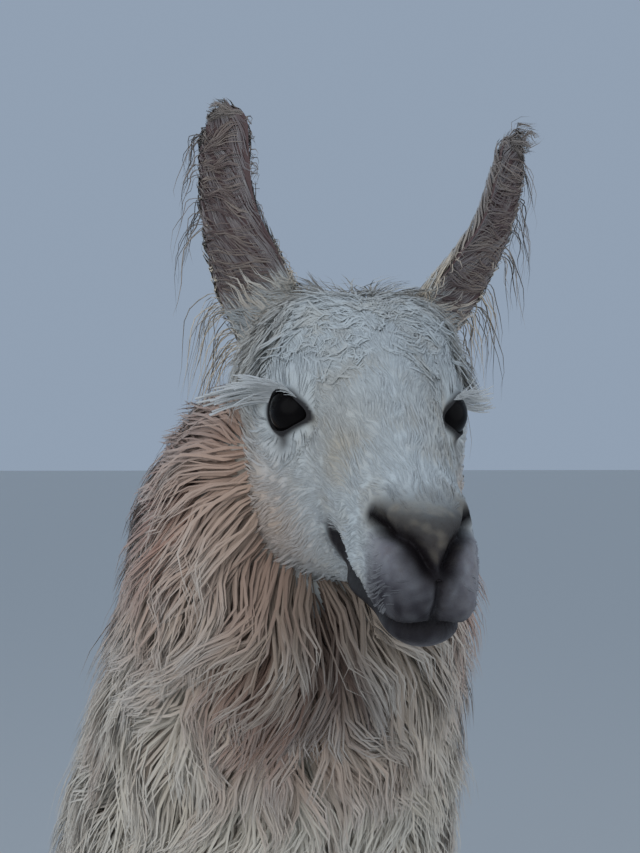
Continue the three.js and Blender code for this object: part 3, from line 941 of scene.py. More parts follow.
def lid_rim_and_shade(folded):
    """How near a point is to the dark rims of the lids, the tear corner or the shade under the eye."""
    sight, forward, up = eye_axes(1)
    away = folded - eye_place(1)
    ahead, raised, outside = away @ forward, away @ up, away @ sight > 0
    edge_ahead, edge_raised = lid_outline(np.arctan2(raised / 14, ahead / 19.5))
    out = np.hypot(ahead, raised) - np.hypot(edge_ahead, edge_raised)
    rim = bell(np.maximum(out, 0), 3.0)
    tear = 0.85 * bell(np.hypot(ahead - 27, (raised + 3) * 1.6), 7)
    # painted shade under the eye
    shade = 0.8 * bell(np.hypot(ahead - 1, raised + 21), 9)
    return np.clip((rim + tear + shade) * outside, 0, 1)


def leg_colour(points):
    tone = painted(points, SHIN, WHITE, 0.4 + 0.4 * patches(points, 0.08, 11))
    return blend(tone, FOOT, 0.7 * soft(-points[..., 2], -0.12, -0.03))


def body_colour(points):
    """Cream wool that gives way to the shins' short hair below the knees and hocks."""
    return blend(fleece_colour(points), leg_colour(points), soft(-points[..., 2], -0.56, -0.44))


def skin_colour(points):
    q = frame_to_head(points)
    away = np.linalg.norm(q * (1, 0.4, 0.7) - (0, -20, -20), axis=-1)
    head = soft(-q[..., 1], -140, -95) * soft(-away, -170, -150)
    aside = np.abs(q[..., 0])
    ear = soft(q[..., 2] + 0.5 * aside, 128, 154) * soft(aside, 40, 60)
    return blend(blend(body_colour(points), face_colour(points), head), EAR_SKIN, ear)


def store(mesh, name, values):
    """Four numbers for each point of a mesh, as a colour attribute."""
    layer = mesh.attributes.new(name, "FLOAT_COLOR", "POINT")
    layer.data.foreach_set("color", np.ascontiguousarray(values, dtype=np.float32).ravel())


def mesh_points(mesh):
    flat = np.zeros(len(mesh.vertices) * 3, np.float32)
    mesh.vertices.foreach_get("co", flat)
    return flat.reshape(-1, 3).astype(float)


# ---- growing the coat -----------------------------------------------------------------------------
# the side of each lock's patch on the coat's map, and the steps that measure a form's slopes
PATCH = 0.003
T_STEP = 0.003
A_STEP = 0.02
skin_tree = BVHTree.FromObject(skin, bpy.context.evaluated_depsgraph_get())


@lru_cache(maxsize=None)
def outward_sign(form):
    """Whether along x round points out of a form or into it, judged on one ring."""
    a = round_about(24)
    t = np.full(24, 0.5)
    ring = form(t, a)
    facing = np.cross(form(t + 0.01, a) - ring, form(t, a + A_STEP) - form(t, a - A_STEP))
    return np.sign(np.sum(facing * (ring - ring.mean(0))))


def form_frame(form, t, a):
    """Points of a form, their outward normals, and the steps along and round it."""
    t0, t1 = np.maximum(t - T_STEP, 0), np.minimum(t + T_STEP, 1)
    along = (form(t1, a) - form(t0, a)) / (t1 - t0)[..., None]
    round_it = (form(t, a + A_STEP) - form(t, a - A_STEP)) / (2 * A_STEP)
    return form(t, a), unit(np.cross(along, round_it)) * outward_sign(form), along, round_it


def scatter(form, count, t_range, a_range, density, chance):
    """Roots spread evenly over a stretch of a form, thinned where density is below 1."""
    tries = count * 6
    t = chance.uniform(*t_range, tries)
    a = chance.uniform(*a_range, tries)
    point, _, along, round_it = form_frame(form, t, a)
    keep = np.linalg.norm(np.cross(along, round_it), axis=-1) * (density(point) if density else 1.0)
    chosen = np.nonzero(chance.uniform(0, 1, tries) < keep / np.quantile(keep, 0.98))[0][:count]
    return t[chosen], a[chosen]


def comb(form, t, a, flow, length, steps):
    """Walks each lock over the skin the way the coat lies: its ground points and the normals there."""
    grounds, normals = [], []
    drift = np.zeros((len(t), 3))
    stride = length / steps
    for _ in range(steps + 1):
        point, normal, along, round_it = form_frame(form, t, a)
        grounds.append(point + drift)
        normals.append(normal)
        way = flow(point + drift)
        flat = unit(way - normal * np.sum(way * normal, -1, keepdims=True))
        dt = np.sum(flat * along, -1) / np.sum(along * along, -1) * stride
        da = np.sum(flat * round_it, -1) / np.maximum(np.sum(round_it * round_it, -1), 1e-6) * stride
        stuck = (t + dt < 0) | (t + dt > 1)
        drift += np.where(stuck[:, None], unit(way) * stride[:, None], 0)
        t = np.where(stuck, t, t + dt)
        a = np.where(stuck, a, a + np.clip(da, -0.6, 0.6))
    return np.stack(grounds, 1), np.stack(normals, 1)


def nearest_leader(roots, leaders):
    """The leading lock that each root stands closest to."""
    tree = KDTree(len(leaders))
    for i, place in enumerate(roots[leaders]):
        tree.insert(place, i)
    tree.balance()
    return np.array([tree.find(root)[1] for root in roots])


# share of the full width at each step from root to tip
TAPER = [0.6, 0.95, 1.0, 0.85, 0.5, 0.0]


def lock_lines(form, roots, flow, chance, length, height, steps, clump=0.0, clump_every=12, wave=0.0,
               waves=1.6, stray=0.0, rise=1.7, spread=0.0):
    """The middle line of every lock, from its root up to the tip of the coat."""
    t, a = roots
    count = len(t)
    long = (length(t, a) if callable(length) else length) * chance.uniform(0.7, 1.15, count)
    grounds, normals = comb(form, t, a, flow, long, steps)
    s = np.linspace(0, 1, steps + 1)[None, :]
    tall = height(t, a) * MM * chance.uniform(0.72, 1.0, count)
    loose = chance.uniform(0, 1, count) < stray
    tall = np.where(loose, tall * 1.22, tall)
    profile = 1 - (1 - s) ** rise
    side = unit(np.cross(normals, np.gradient(grounds, axis=1)))
    phase = chance.uniform(0, TAU, count)
    group = np.arange(count)
    lift = chance.uniform(-0.16, 0.04, count)
    if clump:
        leaders = np.arange(0, count, clump_every)
        group = leaders[nearest_leader(grounds[:, 0], leaders)]
        phase = phase[group] + chance.normal(0, 0.5, count)
        lift = lift[group] * 1.4 + chance.uniform(-0.08, 0.02, count)
    sway = wave * s ** 0.8 * np.sin(TAU * waves * s + phase[:, None])
    sway += spread * s ** 1.4 * chance.normal(0, 1, (count, 1))
    lines = grounds + normals * (tall[:, None] * profile)[..., None] + side * sway[..., None]
    if clump:
        pull = clump * s[..., None] ** 1.3
        lines = lines * (1 - pull) + lines[group] * pull
    lines += normals * (lift[:, None] * tall[:, None] * s)[..., None]
    return lines, normals, group


def lock_faces(rings):
    """The triangles of one lock: a closed root, three sides and a pointed tip."""
    faces = [(0, 2, 1)]
    for k in range(rings - 2):
        for i in range(3):
            p, q = 3 * k + i, 3 * k + (i + 1) % 3
            faces += [(p, q + 3, p + 3), (p, q, q + 3)]
    last = 3 * (rings - 2)
    faces += [(last + i, last + (i + 1) % 3, last + 3) for i in range(3)]
    return np.array(faces)


def lock_tubes(piece):
    """The points of every lock of a set, and the ways that they are shaded, close to the skin's own."""
    lines, normals, chance = piece["lines"], piece["normals"], piece["chance"]
    count, rings = lines.shape[:2]
    taper = np.interp(np.linspace(0, 1, rings), np.linspace(0, 1, len(TAPER)), TAPER)[:-1]
    ahead = unit(np.gradient(lines, axis=1))
    side = unit(np.cross(normals, ahead))
    top = unit(np.cross(ahead, side))
    roll = chance.uniform(-0.3, 0.3, count)[:, None, None]
    side, top = side * np.cos(roll) + top * np.sin(roll), top * np.cos(roll) - side * np.sin(roll)
    side, top, body = side[:, :-1], top[:, :-1], lines[:, :-1]
    wide = (piece["width"] * chance.uniform(0.45, 1.3, count))[:, None, None] * taper[None, :, None] * 0.5
    ring = np.stack([body - side * wide, body + side * wide, body + top * wide * piece["plump"]], 2)
    points = np.concatenate([ring.reshape(count, -1, 3), lines[:, -1:]], 1)
    skin_way = 1.5 * piece["soften"] * (normals[:, :-1] + 0.25 * ahead[:, :-1])
    shown = np.stack([skin_way - 0.32 * side - 0.1 * top, skin_way + 0.32 * side - 0.1 * top,
                      skin_way + 0.4 * top], 2)
    tip_way = piece["soften"] * normals[:, -1:] + 0.5 * ahead[:, -1:]
    return points, unit(np.concatenate([shown.reshape(count, -1, 3), tip_way], 1))


def scrambled(number):
    """A fixed value from 0 to 1 for each number, unlike its neighbours'."""
    return np.sin(number * 12.9898) * 43758.5453 % 1


def mesh_of_triangles(name, points, faces):
    mesh = bpy.data.meshes.new(name)
    mesh.vertices.add(len(points))
    mesh.vertices.foreach_set("co", points.astype(np.float32).ravel())
    mesh.loops.add(faces.size)
    mesh.loops.foreach_set("vertex_index", faces.astype(np.int32).ravel())
    mesh.polygons.add(len(faces))
    mesh.polygons.foreach_set("loop_start", np.arange(0, faces.size, 3, dtype=np.int32))
    mesh.update(calc_edges=True)
    shade_smooth(mesh)
    return mesh


def coat_piece(name, pieces):
    """Joins sets of locks into one piece: three-sided tapering tubes with closed roots and pointed tips."""
    parts = {"points": [], "ways": [], "faces": [], "tint": [], "lock": [], "map": []}
    lows = np.min([piece["spans"] for piece in pieces], axis=0)[:, 0]
    highs = np.max([piece["spans"] for piece in pieces], axis=0)[:, 1]
    start = 0
    for piece in pieces:
        points, ways = lock_tubes(piece)
        count, per = points.shape[:2]
        rings = piece["lines"].shape[1]
        along = np.append(np.repeat(np.linspace(0, 1, rings)[:-1], 3), 1.0)
        across = np.append(np.tile([0, 1, 0.5], rings - 1), 0.5)
        own = piece["chance"].uniform(0, 1, count)[:, None]
        lock = along_axes(along[None], across[None], own)
        shared = np.broadcast_to(scrambled(piece["group"])[:, None, None], (count, per, 1))
        tint = np.concatenate([piece["tint"](piece["lines"][:, 0]), np.full((count, 1), piece["shade"])], 1)
        base = np.clip((np.stack(piece["roots"], -1) - lows) / (highs - lows), 0, 1)[:, ::-1] * (1 - PATCH)
        parts["points"].append(points.reshape(-1, 3))
        parts["ways"].append(ways.reshape(-1, 3))
        starts = start + np.arange(count)[:, None, None] * per
        parts["faces"].append((lock_faces(rings) + starts).reshape(-1, 3))
        parts["tint"].append(np.repeat(tint, per, axis=0))
        parts["lock"].append(np.concatenate([lock, shared], -1).reshape(-1, 4))
        parts["map"].append((base[:, None] + np.stack([across, along], -1) * PATCH).reshape(-1, 2))
        start += count * per
    whole = {key: np.vstack(value) for key, value in parts.items()}
    mesh = mesh_of_triangles(name, whole["points"], whole["faces"])
    mesh.normals_split_custom_set_from_vertices(whole["ways"].tolist())
    store(mesh, "tint", whole["tint"])
    store(mesh, "lock", whole["lock"])
    layer = mesh.uv_layers.new(name="OFBake")
    layer.data.foreach_set("uv", whole["map"][whole["faces"].ravel()].astype(np.float32).ravel())
    made = put_in_scene(name, mesh)
    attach(made, "root")
    return made


def rooted(points, reach):
    """Which roots stand on the skin, not inside another part of the body."""
    return np.array([skin_tree.find_nearest(Vector(point))[3] < reach for point in points])


def locks(form, count, t_range, a_range, flow, seed, length, height, width, tint, steps=6, density=None,
          reach=0.008, shade=1.0, soften=1.0, plump=0.35, **style):
    """One set of locks grown over a stretch of a form: length and width in metres, height in mm."""
    chance = np.random.default_rng(seed)
    t, a = scatter(form, count, t_range, a_range, density, chance)
    good = rooted(form(t, a), reach)
    roots = (t[good], a[good])
    lines, normals, group = lock_lines(form, roots, flow, chance, length, height, steps, **style)
    return dict(lines=lines, normals=normals, group=group, width=width, roots=roots, spans=(t_range, a_range),
                chance=chance, tint=tint, shade=shade, soften=soften, plump=plump)


def even(depth):
    """A coat of one depth everywhere."""
    return lambda t, a: depth + 0 * t


def wandering(points, size, seed):
    """A slowly changing sideways push, so that neighbouring locks lean together."""
    return np.stack([patches(points, size, seed + k) for k in range(3)], -1)


def tousled(points, size, seed, most):
    """A sideways push that jumps from one small patch of coat to the next."""
    cell = np.floor(points / size + 0.37 * np.sin(points[..., ::-1] * 41)).astype(int)
    mixed = (cell * np.array([73856093, 19349663, 83492791])).sum(-1)[..., None]
    return (scrambled(mixed + np.array([11, 47, 89]) * seed) * 2 - 1) * most


def fleece_flow(points):
    """Wool falls down the neck and flanks, and sweeps back behind the cheeks and along the spine."""
    back = np.interp(points[..., 2], [0.7, 1.05, 1.22, 1.32, 1.4, 1.46, 1.5, 1.56],
                     [0.3, 0.35, 0.25, 0.25, 0.38, 0.6, 1.0, 1.8])
    way = along_axes(0.25 * np.sign(points[..., 0]), back, -1.0)
    return unit(way) + 0.36 * wandering(points, 0.1, 21) + tousled(points, 0.03, 22, 0.34)


def crest_flow(points):
    """Wool at the top of the neck stands out sideways behind the head before it falls."""
    way = along_axes(0.9 * side_of(frame_to_head(points)), 0.35, 0.4)
    return head_way(way) + 0.3 * wandering(points, 0.05, 63) + tousled(points, 0.018, 64, 0.4)


def down_flow(points):
    return np.array([0, 0.1, -1.0]) + 0.25 * wandering(points, 0.08, 31)


def wool_depth(table, column):
    rows = np.array(table, float)[:, column:column + 1]
    return lambda t, a: carried(rows, t)[..., 0]


torso_wool = wool_depth(TORSO, 6)
tail_wool = wool_depth(TAIL, 3)

QUARTERS = {"front_right": (-math.pi, -math.pi / 2), "back_right": (-math.pi / 2, 0),
            "back_left": (0, math.pi / 2), "front_left": (math.pi / 2, math.pi)}
NECK_COUNT = {"front_right": 7000, "back_right": 5250, "back_left": 3200, "front_left": 5600}
LEFT_SWELL = 0.2
ALL_ROUND = (-math.pi, math.pi)


def neck_wool(quarter):
    """Long wool on a quarter of the neck, a little deeper high on the left, and a crest at the back."""
    span = QUARTERS[quarter]
    swell = LEFT_SWELL if "left" in quarter else 0.0

    def depth(t, a):
        return (1 + swell * soft(t, 0.78, 0.88)) * torso_wool(t, a)

    seed = 100 + len(quarter)
    long = locks(torso_form, NECK_COUNT[quarter], (0.58, 0.999), span, fleece_flow, seed, 0.094, depth,
                 0.0028, fleece_colour, steps=5, soften=0.75, stray=0.07, clump=0.62, clump_every=20,
                 wave=0.007, waves=1.15, rise=1.5, spread=0.007)
    if "front" in quarter:
        return coat_piece("wool_neck_" + quarter, [long])
    crest = locks(torso_form, 600, (0.84, 0.985), span, crest_flow, seed + 50, 0.05, even(48), 0.0022,
                  fleece_colour, steps=5, soften=0.6, clump=0.5, clump_every=14, wave=0.006, waves=1.1,
                  rise=1.3, spread=0.006)
    return coat_piece("wool_neck_" + quarter, [long, crest])


# broad locks on the trunk, and finer ones where it runs into the neck: count, stretch, seed, length, width
TRUNK_SETS = [(2780, (0.004, 0.47), 200, 0.13, 0.012), (2200, (0.45, 0.62), 210, 0.12, 0.008)]


def trunk_wool(name, side, span):
    sets = [locks(torso_form, count, stretch, span, fleece_flow, seed + side, length, torso_wool, width,
                  fleece_colour, steps=5, stray=0.05, clump=0.7, clump_every=10, wave=0.006, waves=1.1,
                  rise=1.35, spread=0.008)
            for count, stretch, seed, length, width in TRUNK_SETS]
    return coat_piece(name, sets)


def leg_wool(name):
    """Long wool on the upper leg, short hair on the shin."""
    stations, x, y = LEGS[name]
    form = leg_form(stations, x, y)
    depth = wool_depth(stations, 5)
    seed = 300 + 20 * list(LEGS).index(name)
    upper = locks(form, 940, (0.0, 0.55), ALL_ROUND, down_flow, seed, 0.085, depth, 0.008, body_colour,
                  steps=5, clump=0.6, clump_every=8, wave=0.004)
    lower = locks(form, 900, (0.5, 1.0), ALL_ROUND, down_flow, seed + 1, 0.032, depth, 0.0032, body_colour,
                  steps=3, clump=0.3, clump_every=6, shade=0.5)
    return coat_piece("wool_" + name, [upper, lower])


def tail_coat():
    long = locks(tail_form, 900, (0.0, 0.99), ALL_ROUND, down_flow, 400, 0.12, tail_wool, 0.007,
                 fleece_colour, steps=5, clump=0.6, clump_every=8, wave=0.005)
    return coat_piece("wool_tail", [long])


# ---- the coat of the head ---------------------------------------------------------------------------
def above_head(more=0.0, share=1.0):
    """The depth of the head's coat, or a share of it, with more added."""
    return lambda t, a: share * head_wool_depth(head_outer(t, a)) + more


def side_of(q):
    return np.tanh(q[..., 0] / 12)


def from_eyes(q):
    """A push away from the nearer eye, so that hair parts round the lids."""
    away = mirrored(q) - eye_place(1)
    push = unit(away) * bell(np.maximum(np.linalg.norm(away, axis=-1) - EYE_RADIUS, 0), 17)[..., None]
    push[..., 0] *= np.sign(q[..., 0] + 1e-9)
    return push


def face_flow(points):
    """Short hair runs back from the nose, up the bridge and down over the cheeks."""
    q = frame_to_head(points)
    way = along_axes(0.25 * side_of(q), 1.0, 0.1 - 0.6 * soft(-q[..., 2], 10, 90)) + 2.6 * from_eyes(q)
    return head_way(way) + 0.3 * wandering(points, 0.03, 41)


def curl_flow(points):
    """Curls on the forehead tumble forward and outward."""
    q = frame_to_head(points)
    way = along_axes(0.7 * side_of(q), 0.2 - 1.0 * soft(q[..., 1], 40, 120), -0.3) + 2.6 * from_eyes(q)
    return head_way(way) + 0.6 * wandering(points, 0.05, 51) + tousled(points, 0.012, 52, 0.45)


def temple_flow(points):
    """Long pale tufts sweep outward over the bases of the ears and hang behind the eyes."""
    q = frame_to_head(points)
    way = along_axes(1.2 * side_of(q), -0.1, -0.5) + 2 * from_eyes(q)
    return head_way(way) + 0.5 * wandering(points, 0.04, 57) + tousled(points, 0.014, 58, 0.4)


def ruff_flow(points):
    """Wool behind the cheeks sweeps back and down onto the neck."""
    way = along_axes(0.3 * side_of(frame_to_head(points)), 1.0, -1.4)
    return head_way(way) + 0.45 * wandering(points, 0.055, 61) + tousled(points, 0.018, 62, 0.5)


def bare_share(folded):
    """1 on the nose pad, lips and lid rims, which have no hair."""
    aside, ahead, down = folded[..., 0], -folded[..., 1], -folded[..., 2]
    front = soft(ahead, 140, 158)
    pad = front * soft(26 - aside, -4, 4) * soft(-down, -82, -72) * soft(down, 34, 46)
    lips = front * soft(down, 74, 84) * soft(24 - aside, -6, 6)
    plain = unswollen(folded)
    lines = (FOLDS["nostril"], FOLDS["mouth"], LIP_SHADOW_LINE)
    creases = sum(bell(near_fold(plain, line, 14)[0], 7.5) for line in lines)
    return np.clip(pad + lips + creases * 1.3 + lid_rim_and_shade(folded) * 1.3, 0, 1)


# Where each set of the head's coat grows: 1 where it is full, and never quite 0.
SPARSE = 1e-4


def on_face(points):
    folded = mirrored(frame_to_head(points))
    return (1 - bare_share(folded)) * (0.35 + 0.65 * soft(-folded[..., 1], -90, -20)) + SPARSE


def clear_of_eyes(folded):
    return soft(np.linalg.norm(folded - EYE_CENTRE, axis=-1), 32, 42)


def on_crown(points):
    folded = mirrored(frame_to_head(points))
    crown = closeness(folded, (0, 60, 90), 56, (0.85, 0.75, 0.8)) + 0.7 * closeness(folded, (60, 70, 60), 38)
    return crown * clear_of_eyes(folded) + SPARSE


def on_cheek(points):
    q = frame_to_head(points)
    back, down = q[..., 1], -q[..., 2]
    return soft(back, 10, 70) * soft(down, -70, 0) + 0.5 * soft(down, 90, 120) * soft(back, -20, 40) + SPARSE


def by_the_ears(points):
    folded = mirrored(frame_to_head(points))
    return closeness(folded, (72, 72, 62), 26, (1, 0.8, 1)) * clear_of_eyes(folded) + SPARSE


def on_poll(points):
    return closeness(frame_to_head(points), (0, 84, 92), 34, (0.6, 1, 1)) + SPARSE


def on_nape(points):
    return soft(frame_to_head(points)[..., 1], 84, 124) + SPARSE


def head_coat():
    """Short hair over the whole face, finest on the muzzle."""
    face = locks(head_form, 13500, (0.16, 0.985), ALL_ROUND, face_flow, 500,
                 lambda t, a: 0.016 - 0.009 * soft(t, 0.5, 0.95), above_head(share=0.5), 0.001, skin_colour,
                 steps=2, density=on_face, reach=0.003, shade=0.0, clump=0.12, clump_every=7)
    return coat_piece("hair_face", [face])


def crown_coat():
    """Curls on the forehead, hair on the cheeks, tufts by the ears and on the poll."""
    curls = locks(head_form, 4200, (0.0, 0.5), (-1.4, 1.4), curl_flow, 510, 0.024, above_head(), 0.0018,
                  skin_colour, steps=4, density=on_crown, reach=0.004, shade=0.15, soften=0.5, clump=0.6,
                  clump_every=9, wave=0.005, waves=1.1, stray=0.3, rise=1.5)
    cheek = locks(head_form, 3000, (0.02, 0.5), ALL_ROUND, face_flow, 520, 0.026, above_head(), 0.002,
                  skin_colour, steps=3, density=on_cheek, reach=0.004, shade=0.1, soften=0.7, clump=0.4,
                  clump_every=8)
    temple = locks(head_form, 900, (0.0, 0.5), (-1.6, 1.6), temple_flow, 540, 0.042, above_head(9), 0.0017,
                   skin_colour, steps=5, density=by_the_ears, reach=0.004, shade=0.1, soften=0.8, clump=0.45,
                   clump_every=9, wave=0.003, waves=1.0, stray=0.2, rise=1.3)
    poll = locks(head_form, 560, (0.0, 0.42), (-1.3, 1.3), curl_flow, 550, 0.042, above_head(12), 0.0016,
                 skin_colour, steps=5, density=on_poll, reach=0.004, shade=0.1, soften=0.5, clump=0.5,
                 clump_every=8, wave=0.006, waves=1.2, stray=0.5, rise=1.2)
    return coat_piece("wool_crown", [curls, cheek, temple, poll])


def ruff_depth(t, a):
    """Deep wool behind the head, thinner above and fullest at the upper corners of the neck."""
    outer = head_outer(t, a)
    high = soft(outer[..., 2], -20, 30)
    corner = closeness(mirrored(outer), (80, 125, 20), 40)
    return head_wool_depth(outer) * (1 - 0.3 * high) + 15 + 9 * corner


def ruff_coat():
    """Wool that stands out behind the head and falls over the top of the neck."""
    ruff = locks(head_form, 6900, (0.0, 0.3), ALL_ROUND, ruff_flow, 530, 0.066, ruff_depth, 0.0021,
                 fleece_colour, steps=4, density=on_nape, reach=0.004, soften=0.75, clump=0.5, clump_every=14,
                 wave=0.006, waves=1.1, stray=0.1, rise=1.8, spread=0.008)
    return coat_piece("wool_ruff", [ruff])


# ---- the coat of the ears ---------------------------------------------------------------------------
# angles round an ear: its hollow, the hollow's edges, and all round it
HOLLOW = (math.pi / 2, 3 * math.pi / 2)
HOLLOW_EDGES = (math.pi - 0.9, math.pi + 0.9)
EAR_ROUND = (-math.pi / 2, 3 * math.pi / 2)


def ear_base(points):
    """1 where the pale wool of the head runs up over the foot of an ear, more so on the inner side."""
    folded = mirrored(frame_to_head(points))
    return soft(64 + 0.72 * (105 - folded[..., 0]) - folded[..., 2], -10, 8)


def ear_tint(points):
    """Pale at the base, grey-brown on the back towards the tip."""
    return painted(points, CREAM, EAR_GREY, 0.85 * soft(frame_to_head(points)[..., 2], 80, 170))


def inner_tint(points):
    tone = painted(points, EAR_SKIN, WHITE, 0.12 + 0.1 * patches(points, 0.03, 71))
    return blend(tone, WHITE, 0.85 * ear_base(points))


def fringe_tint(points):
    tone = painted(points, EAR_SKIN, CREAM, 0.14 + 0.16 * patches(points, 0.02, 73))
    return blend(tone, WHITE, 0.85 * ear_base(points))


def hanging(form, roots, out_way, chance, length, wave):
    """The middle lines of long wisps that leave an edge outwards, then hang and waver."""
    t, a = roots
    count = len(t)
    point, normal, along, _ = form_frame(form, t, a)
    s = np.linspace(0, 1, 8)[None, :, None]
    long = (length(t) * chance.uniform(0.5, 1.1, count))[:, None, None]
    upward = unit(along) * chance.uniform(-0.1, 0.9, count)[:, None]
    start = unit(out_way + upward + chance.normal(0, 0.22, (count, 3)))
    phase = chance.uniform(0, TAU, (count, 1, 3))
    waver = wave * s * np.sin(TAU * s * 1.3 + phase)
    lines = (point[:, None] + start[:, None] * long * 0.8 * s * (1 - 0.5 * s)
             + np.array([0, 0.12, -1.0]) * long * 0.95 * s ** 1.8 + waver)
    return lines, np.repeat(normal[:, None], 8, axis=1)


def wisps(form, side, edge, count, reach, way, chance):
    """Bunches of long wisps along one edge of an ear, longest near its foot."""
    bunches = chance.uniform(0, 1, count // 5) ** (1.25 - 0.25 * side) * 0.94 + 0.02
    t = np.clip(chance.choice(bunches, count) + chance.normal(0, 0.012, count), 0.01, 0.99)
    a = edge + chance.normal(0, 0.25, count)
    shortest, more = 0.033 + 0.007 * side, 0.07 - 0.01 * side
    lines, normals = hanging(form, (t, a), way, chance, lambda t: reach * (shortest + more * (1 - t)), 0.004)
    return dict(lines=lines, normals=normals, group=np.arange(count) // 8, width=0.001, roots=(t, a),
                spans=((0, 1), EAR_ROUND), chance=chance, tint=ear_tint, shade=0.3, soften=0.15, plump=0.8)


def ear_coat(name):
    """Close hair on the back, paler hair inside, a fringe round the hollow, and wisps along both edges."""
    side = EARS[name][0]
    form = ear_form(*EARS[name])
    outer = math.pi / 2 * side
    tip_way = unit(form(np.array(0.95), np.array(0.0)) - form(np.array(0.05), np.array(0.0)))
    out_way = unit(form(np.array(0.4), np.array(outer)) - form(np.array(0.4), np.array(-outer)))
    seed = 600 if side > 0 else 640

    def up_flow(points):
        return tip_way + 0.35 * out_way + 0.3 * wandering(points, 0.04, seed)

    def across_flow(points):
        return 0.9 * out_way - 0.1 * tip_way + 0.3 * wandering(points, 0.03, seed + 9)

    def tip_flow(points):
        return 0.5 * tip_way + 0.9 * out_way + tousled(points, 0.006, seed + 11, 0.7)

    def base_flow(points):
        return 0.7 * tip_way + 0.5 * out_way + tousled(points, 0.012, seed + 12, 0.6)

    def on_ear_base(points):
        return ear_base(points) + SPARSE

    back = locks(form, 1100, (0.01, 0.8), (-1.3, 1.3), up_flow, seed + 1, 0.026,
                 lambda t, a: 2.5 + 4 * np.sin(np.pi * t) ** 0.5, 0.0022, ear_tint, steps=4, reach=0.004,
                 clump=0.4, clump_every=7, shade=0.5, soften=0.15)
    inner = locks(form, 760, (0.01, 0.85), HOLLOW, up_flow, seed + 2, 0.024, even(2), 0.0016, inner_tint,
                  steps=4, reach=0.004, clump=0.4, clump_every=6, shade=0.6, soften=0.6)
    fringe = locks(form, 420, (0.02, 0.8), HOLLOW_EDGES, across_flow, seed + 4, 0.03, even(8), 0.001,
                   fringe_tint, steps=4, reach=0.004, shade=0.2, soften=0.5, clump=0.6, clump_every=12,
                   wave=0.003, waves=0.8, rise=1.2)
    tip = locks(form, 260, (0.8, 0.97), EAR_ROUND, tip_flow, seed + 6, 0.034 + 0.008 * side, even(6), 0.0012,
                ear_tint, steps=4, reach=0.005, shade=0.3, soften=0.15, clump=0.3, clump_every=6, wave=0.003,
                waves=0.9, rise=1.1)
    base = locks(form, 260, (0.0, 0.2), EAR_ROUND, base_flow, seed + 7, 0.034, even(8), 0.0017, skin_colour,
                 steps=4, reach=0.005, density=on_ear_base, shade=0.1, soften=0.6, clump=0.5, clump_every=8,
                 wave=0.004, waves=1.0, stray=0.2, rise=1.3)
    chance = np.random.default_rng(seed + 3)
    edges = [wisps(form, side, outer, 84, 1.0, out_way, chance),
             wisps(form, side, -outer, 70, 0.28, -out_way, chance)]
    return coat_piece("hair_" + name, [back, inner, fringe, tip, base, *edges])


coats = [neck_wool(quarter) for quarter in QUARTERS]
coats += [trunk_wool("wool_trunk_left", 1, (0, math.pi)), trunk_wool("wool_trunk_right", -1, (-math.pi, 0))]
coats += [leg_wool(name) for name in LEGS]
coats += [tail_coat(), head_coat(), crown_coat(), ruff_coat()]
coats += [ear_coat(name) for name in EARS]


# ---- materials ------------------------------------------------------------------------------------
ROOT_SHADE = (0.62, 0.46, 0.34, 1)
STREAK_SHADE = (0.64, 0.53, 0.43, 1)
TIP_CREAM = (0.96, 0.885, 0.775, 1)
SKIN_SHADE = (0.7, 0.62, 0.55, 1)
HORN_DARK = (0.07, 0.055, 0.045, 1)
HORN_BROWN = (0.16, 0.13, 0.1, 1)
EYE_BLACK = (0.005, 0.004, 0.004, 1)
PALE_GREY = (0.72, 0.72, 0.7, 1)


def wool_material():
    """Wool a little darker and browner at the roots, streaked along each lock and paler at the tips."""
    paint = Paint("wool")
    along, across, chance, group = paint.channels("lock")
    depth = paint.attribute("tint", "Alpha")
    strand = paint.noise(paint.combine(across * 4 + chance * 91, along * 1.6, chance * 37), 1.0)
    # painted shade deep in the coat: roots darker and browner, by each set's share of shade
    root = 1 - along.between(0.0, 0.62)
    shaded = paint.darkened(root * depth * 0.15, paint.attribute("tint"), ROOT_SHADE)
    # painted shade in the gaps between fibres along each lock, and tone that differs at random from lock to
    # lock
    streaks = (strand.between(0.42, 0.7) * 0.11 + chance * 0.07) * (depth * 0.8 + 0.2)
    darker = paint.darkened(streaks, shaded, STREAK_SHADE)
    tips = along.between(0.45, 1.0) * (group * 0.7 + chance * 0.3) * (depth * 0.56 + 0.08)
    lighter = paint.mix(tips, darker, TIP_CREAM)
    return paint.surface(Base_Color=lighter, Roughness=0.8, Sheen_Weight=0.4, Sheen_Roughness=0.5,
                         Specular_IOR_Level=0.2, Normal=paint.bump(strand, 0.5, 0.0015))


def skin_material():
    """Skin under short hair, with a moist grain where it is bare."""
    paint = Paint("skin")
    tint = paint.attribute("tint")
    bare = paint.attribute("tint", "Alpha")
    place = paint.object_place()
    mottle = paint.noise(place, 60.0, 4.0)
    fine = paint.noise(place, 700.0)
    grain = paint.noise(place, 260.0, 3.0, 0.7)
    uneven = mottle.between(0.35, 0.75) * 0.25 + grain.between(0.4, 0.7) * bare * 0.3
    shown = paint.darkened(uneven, tint, SKIN_SHADE)
    bump = paint.bump(mottle * 0.5 + fine + grain * bare, 0.4, 0.0015)
    return paint.surface(Base_Color=shown, Roughness=0.75 - bare * 0.2, Specular_IOR_Level=0.15, Normal=bump)


def nail_material():
    paint = Paint("nail")
    ridges = paint.noise(paint.object_place(), 240.0, 3.0)
    shown = paint.mix(ridges.between(0.35, 0.7), HORN_DARK, HORN_BROWN)
    return paint.surface(Base_Color=shown, Roughness=0.45, Specular_IOR_Level=0.4,
                         Normal=paint.bump(ridges, 0.3, 0.001))


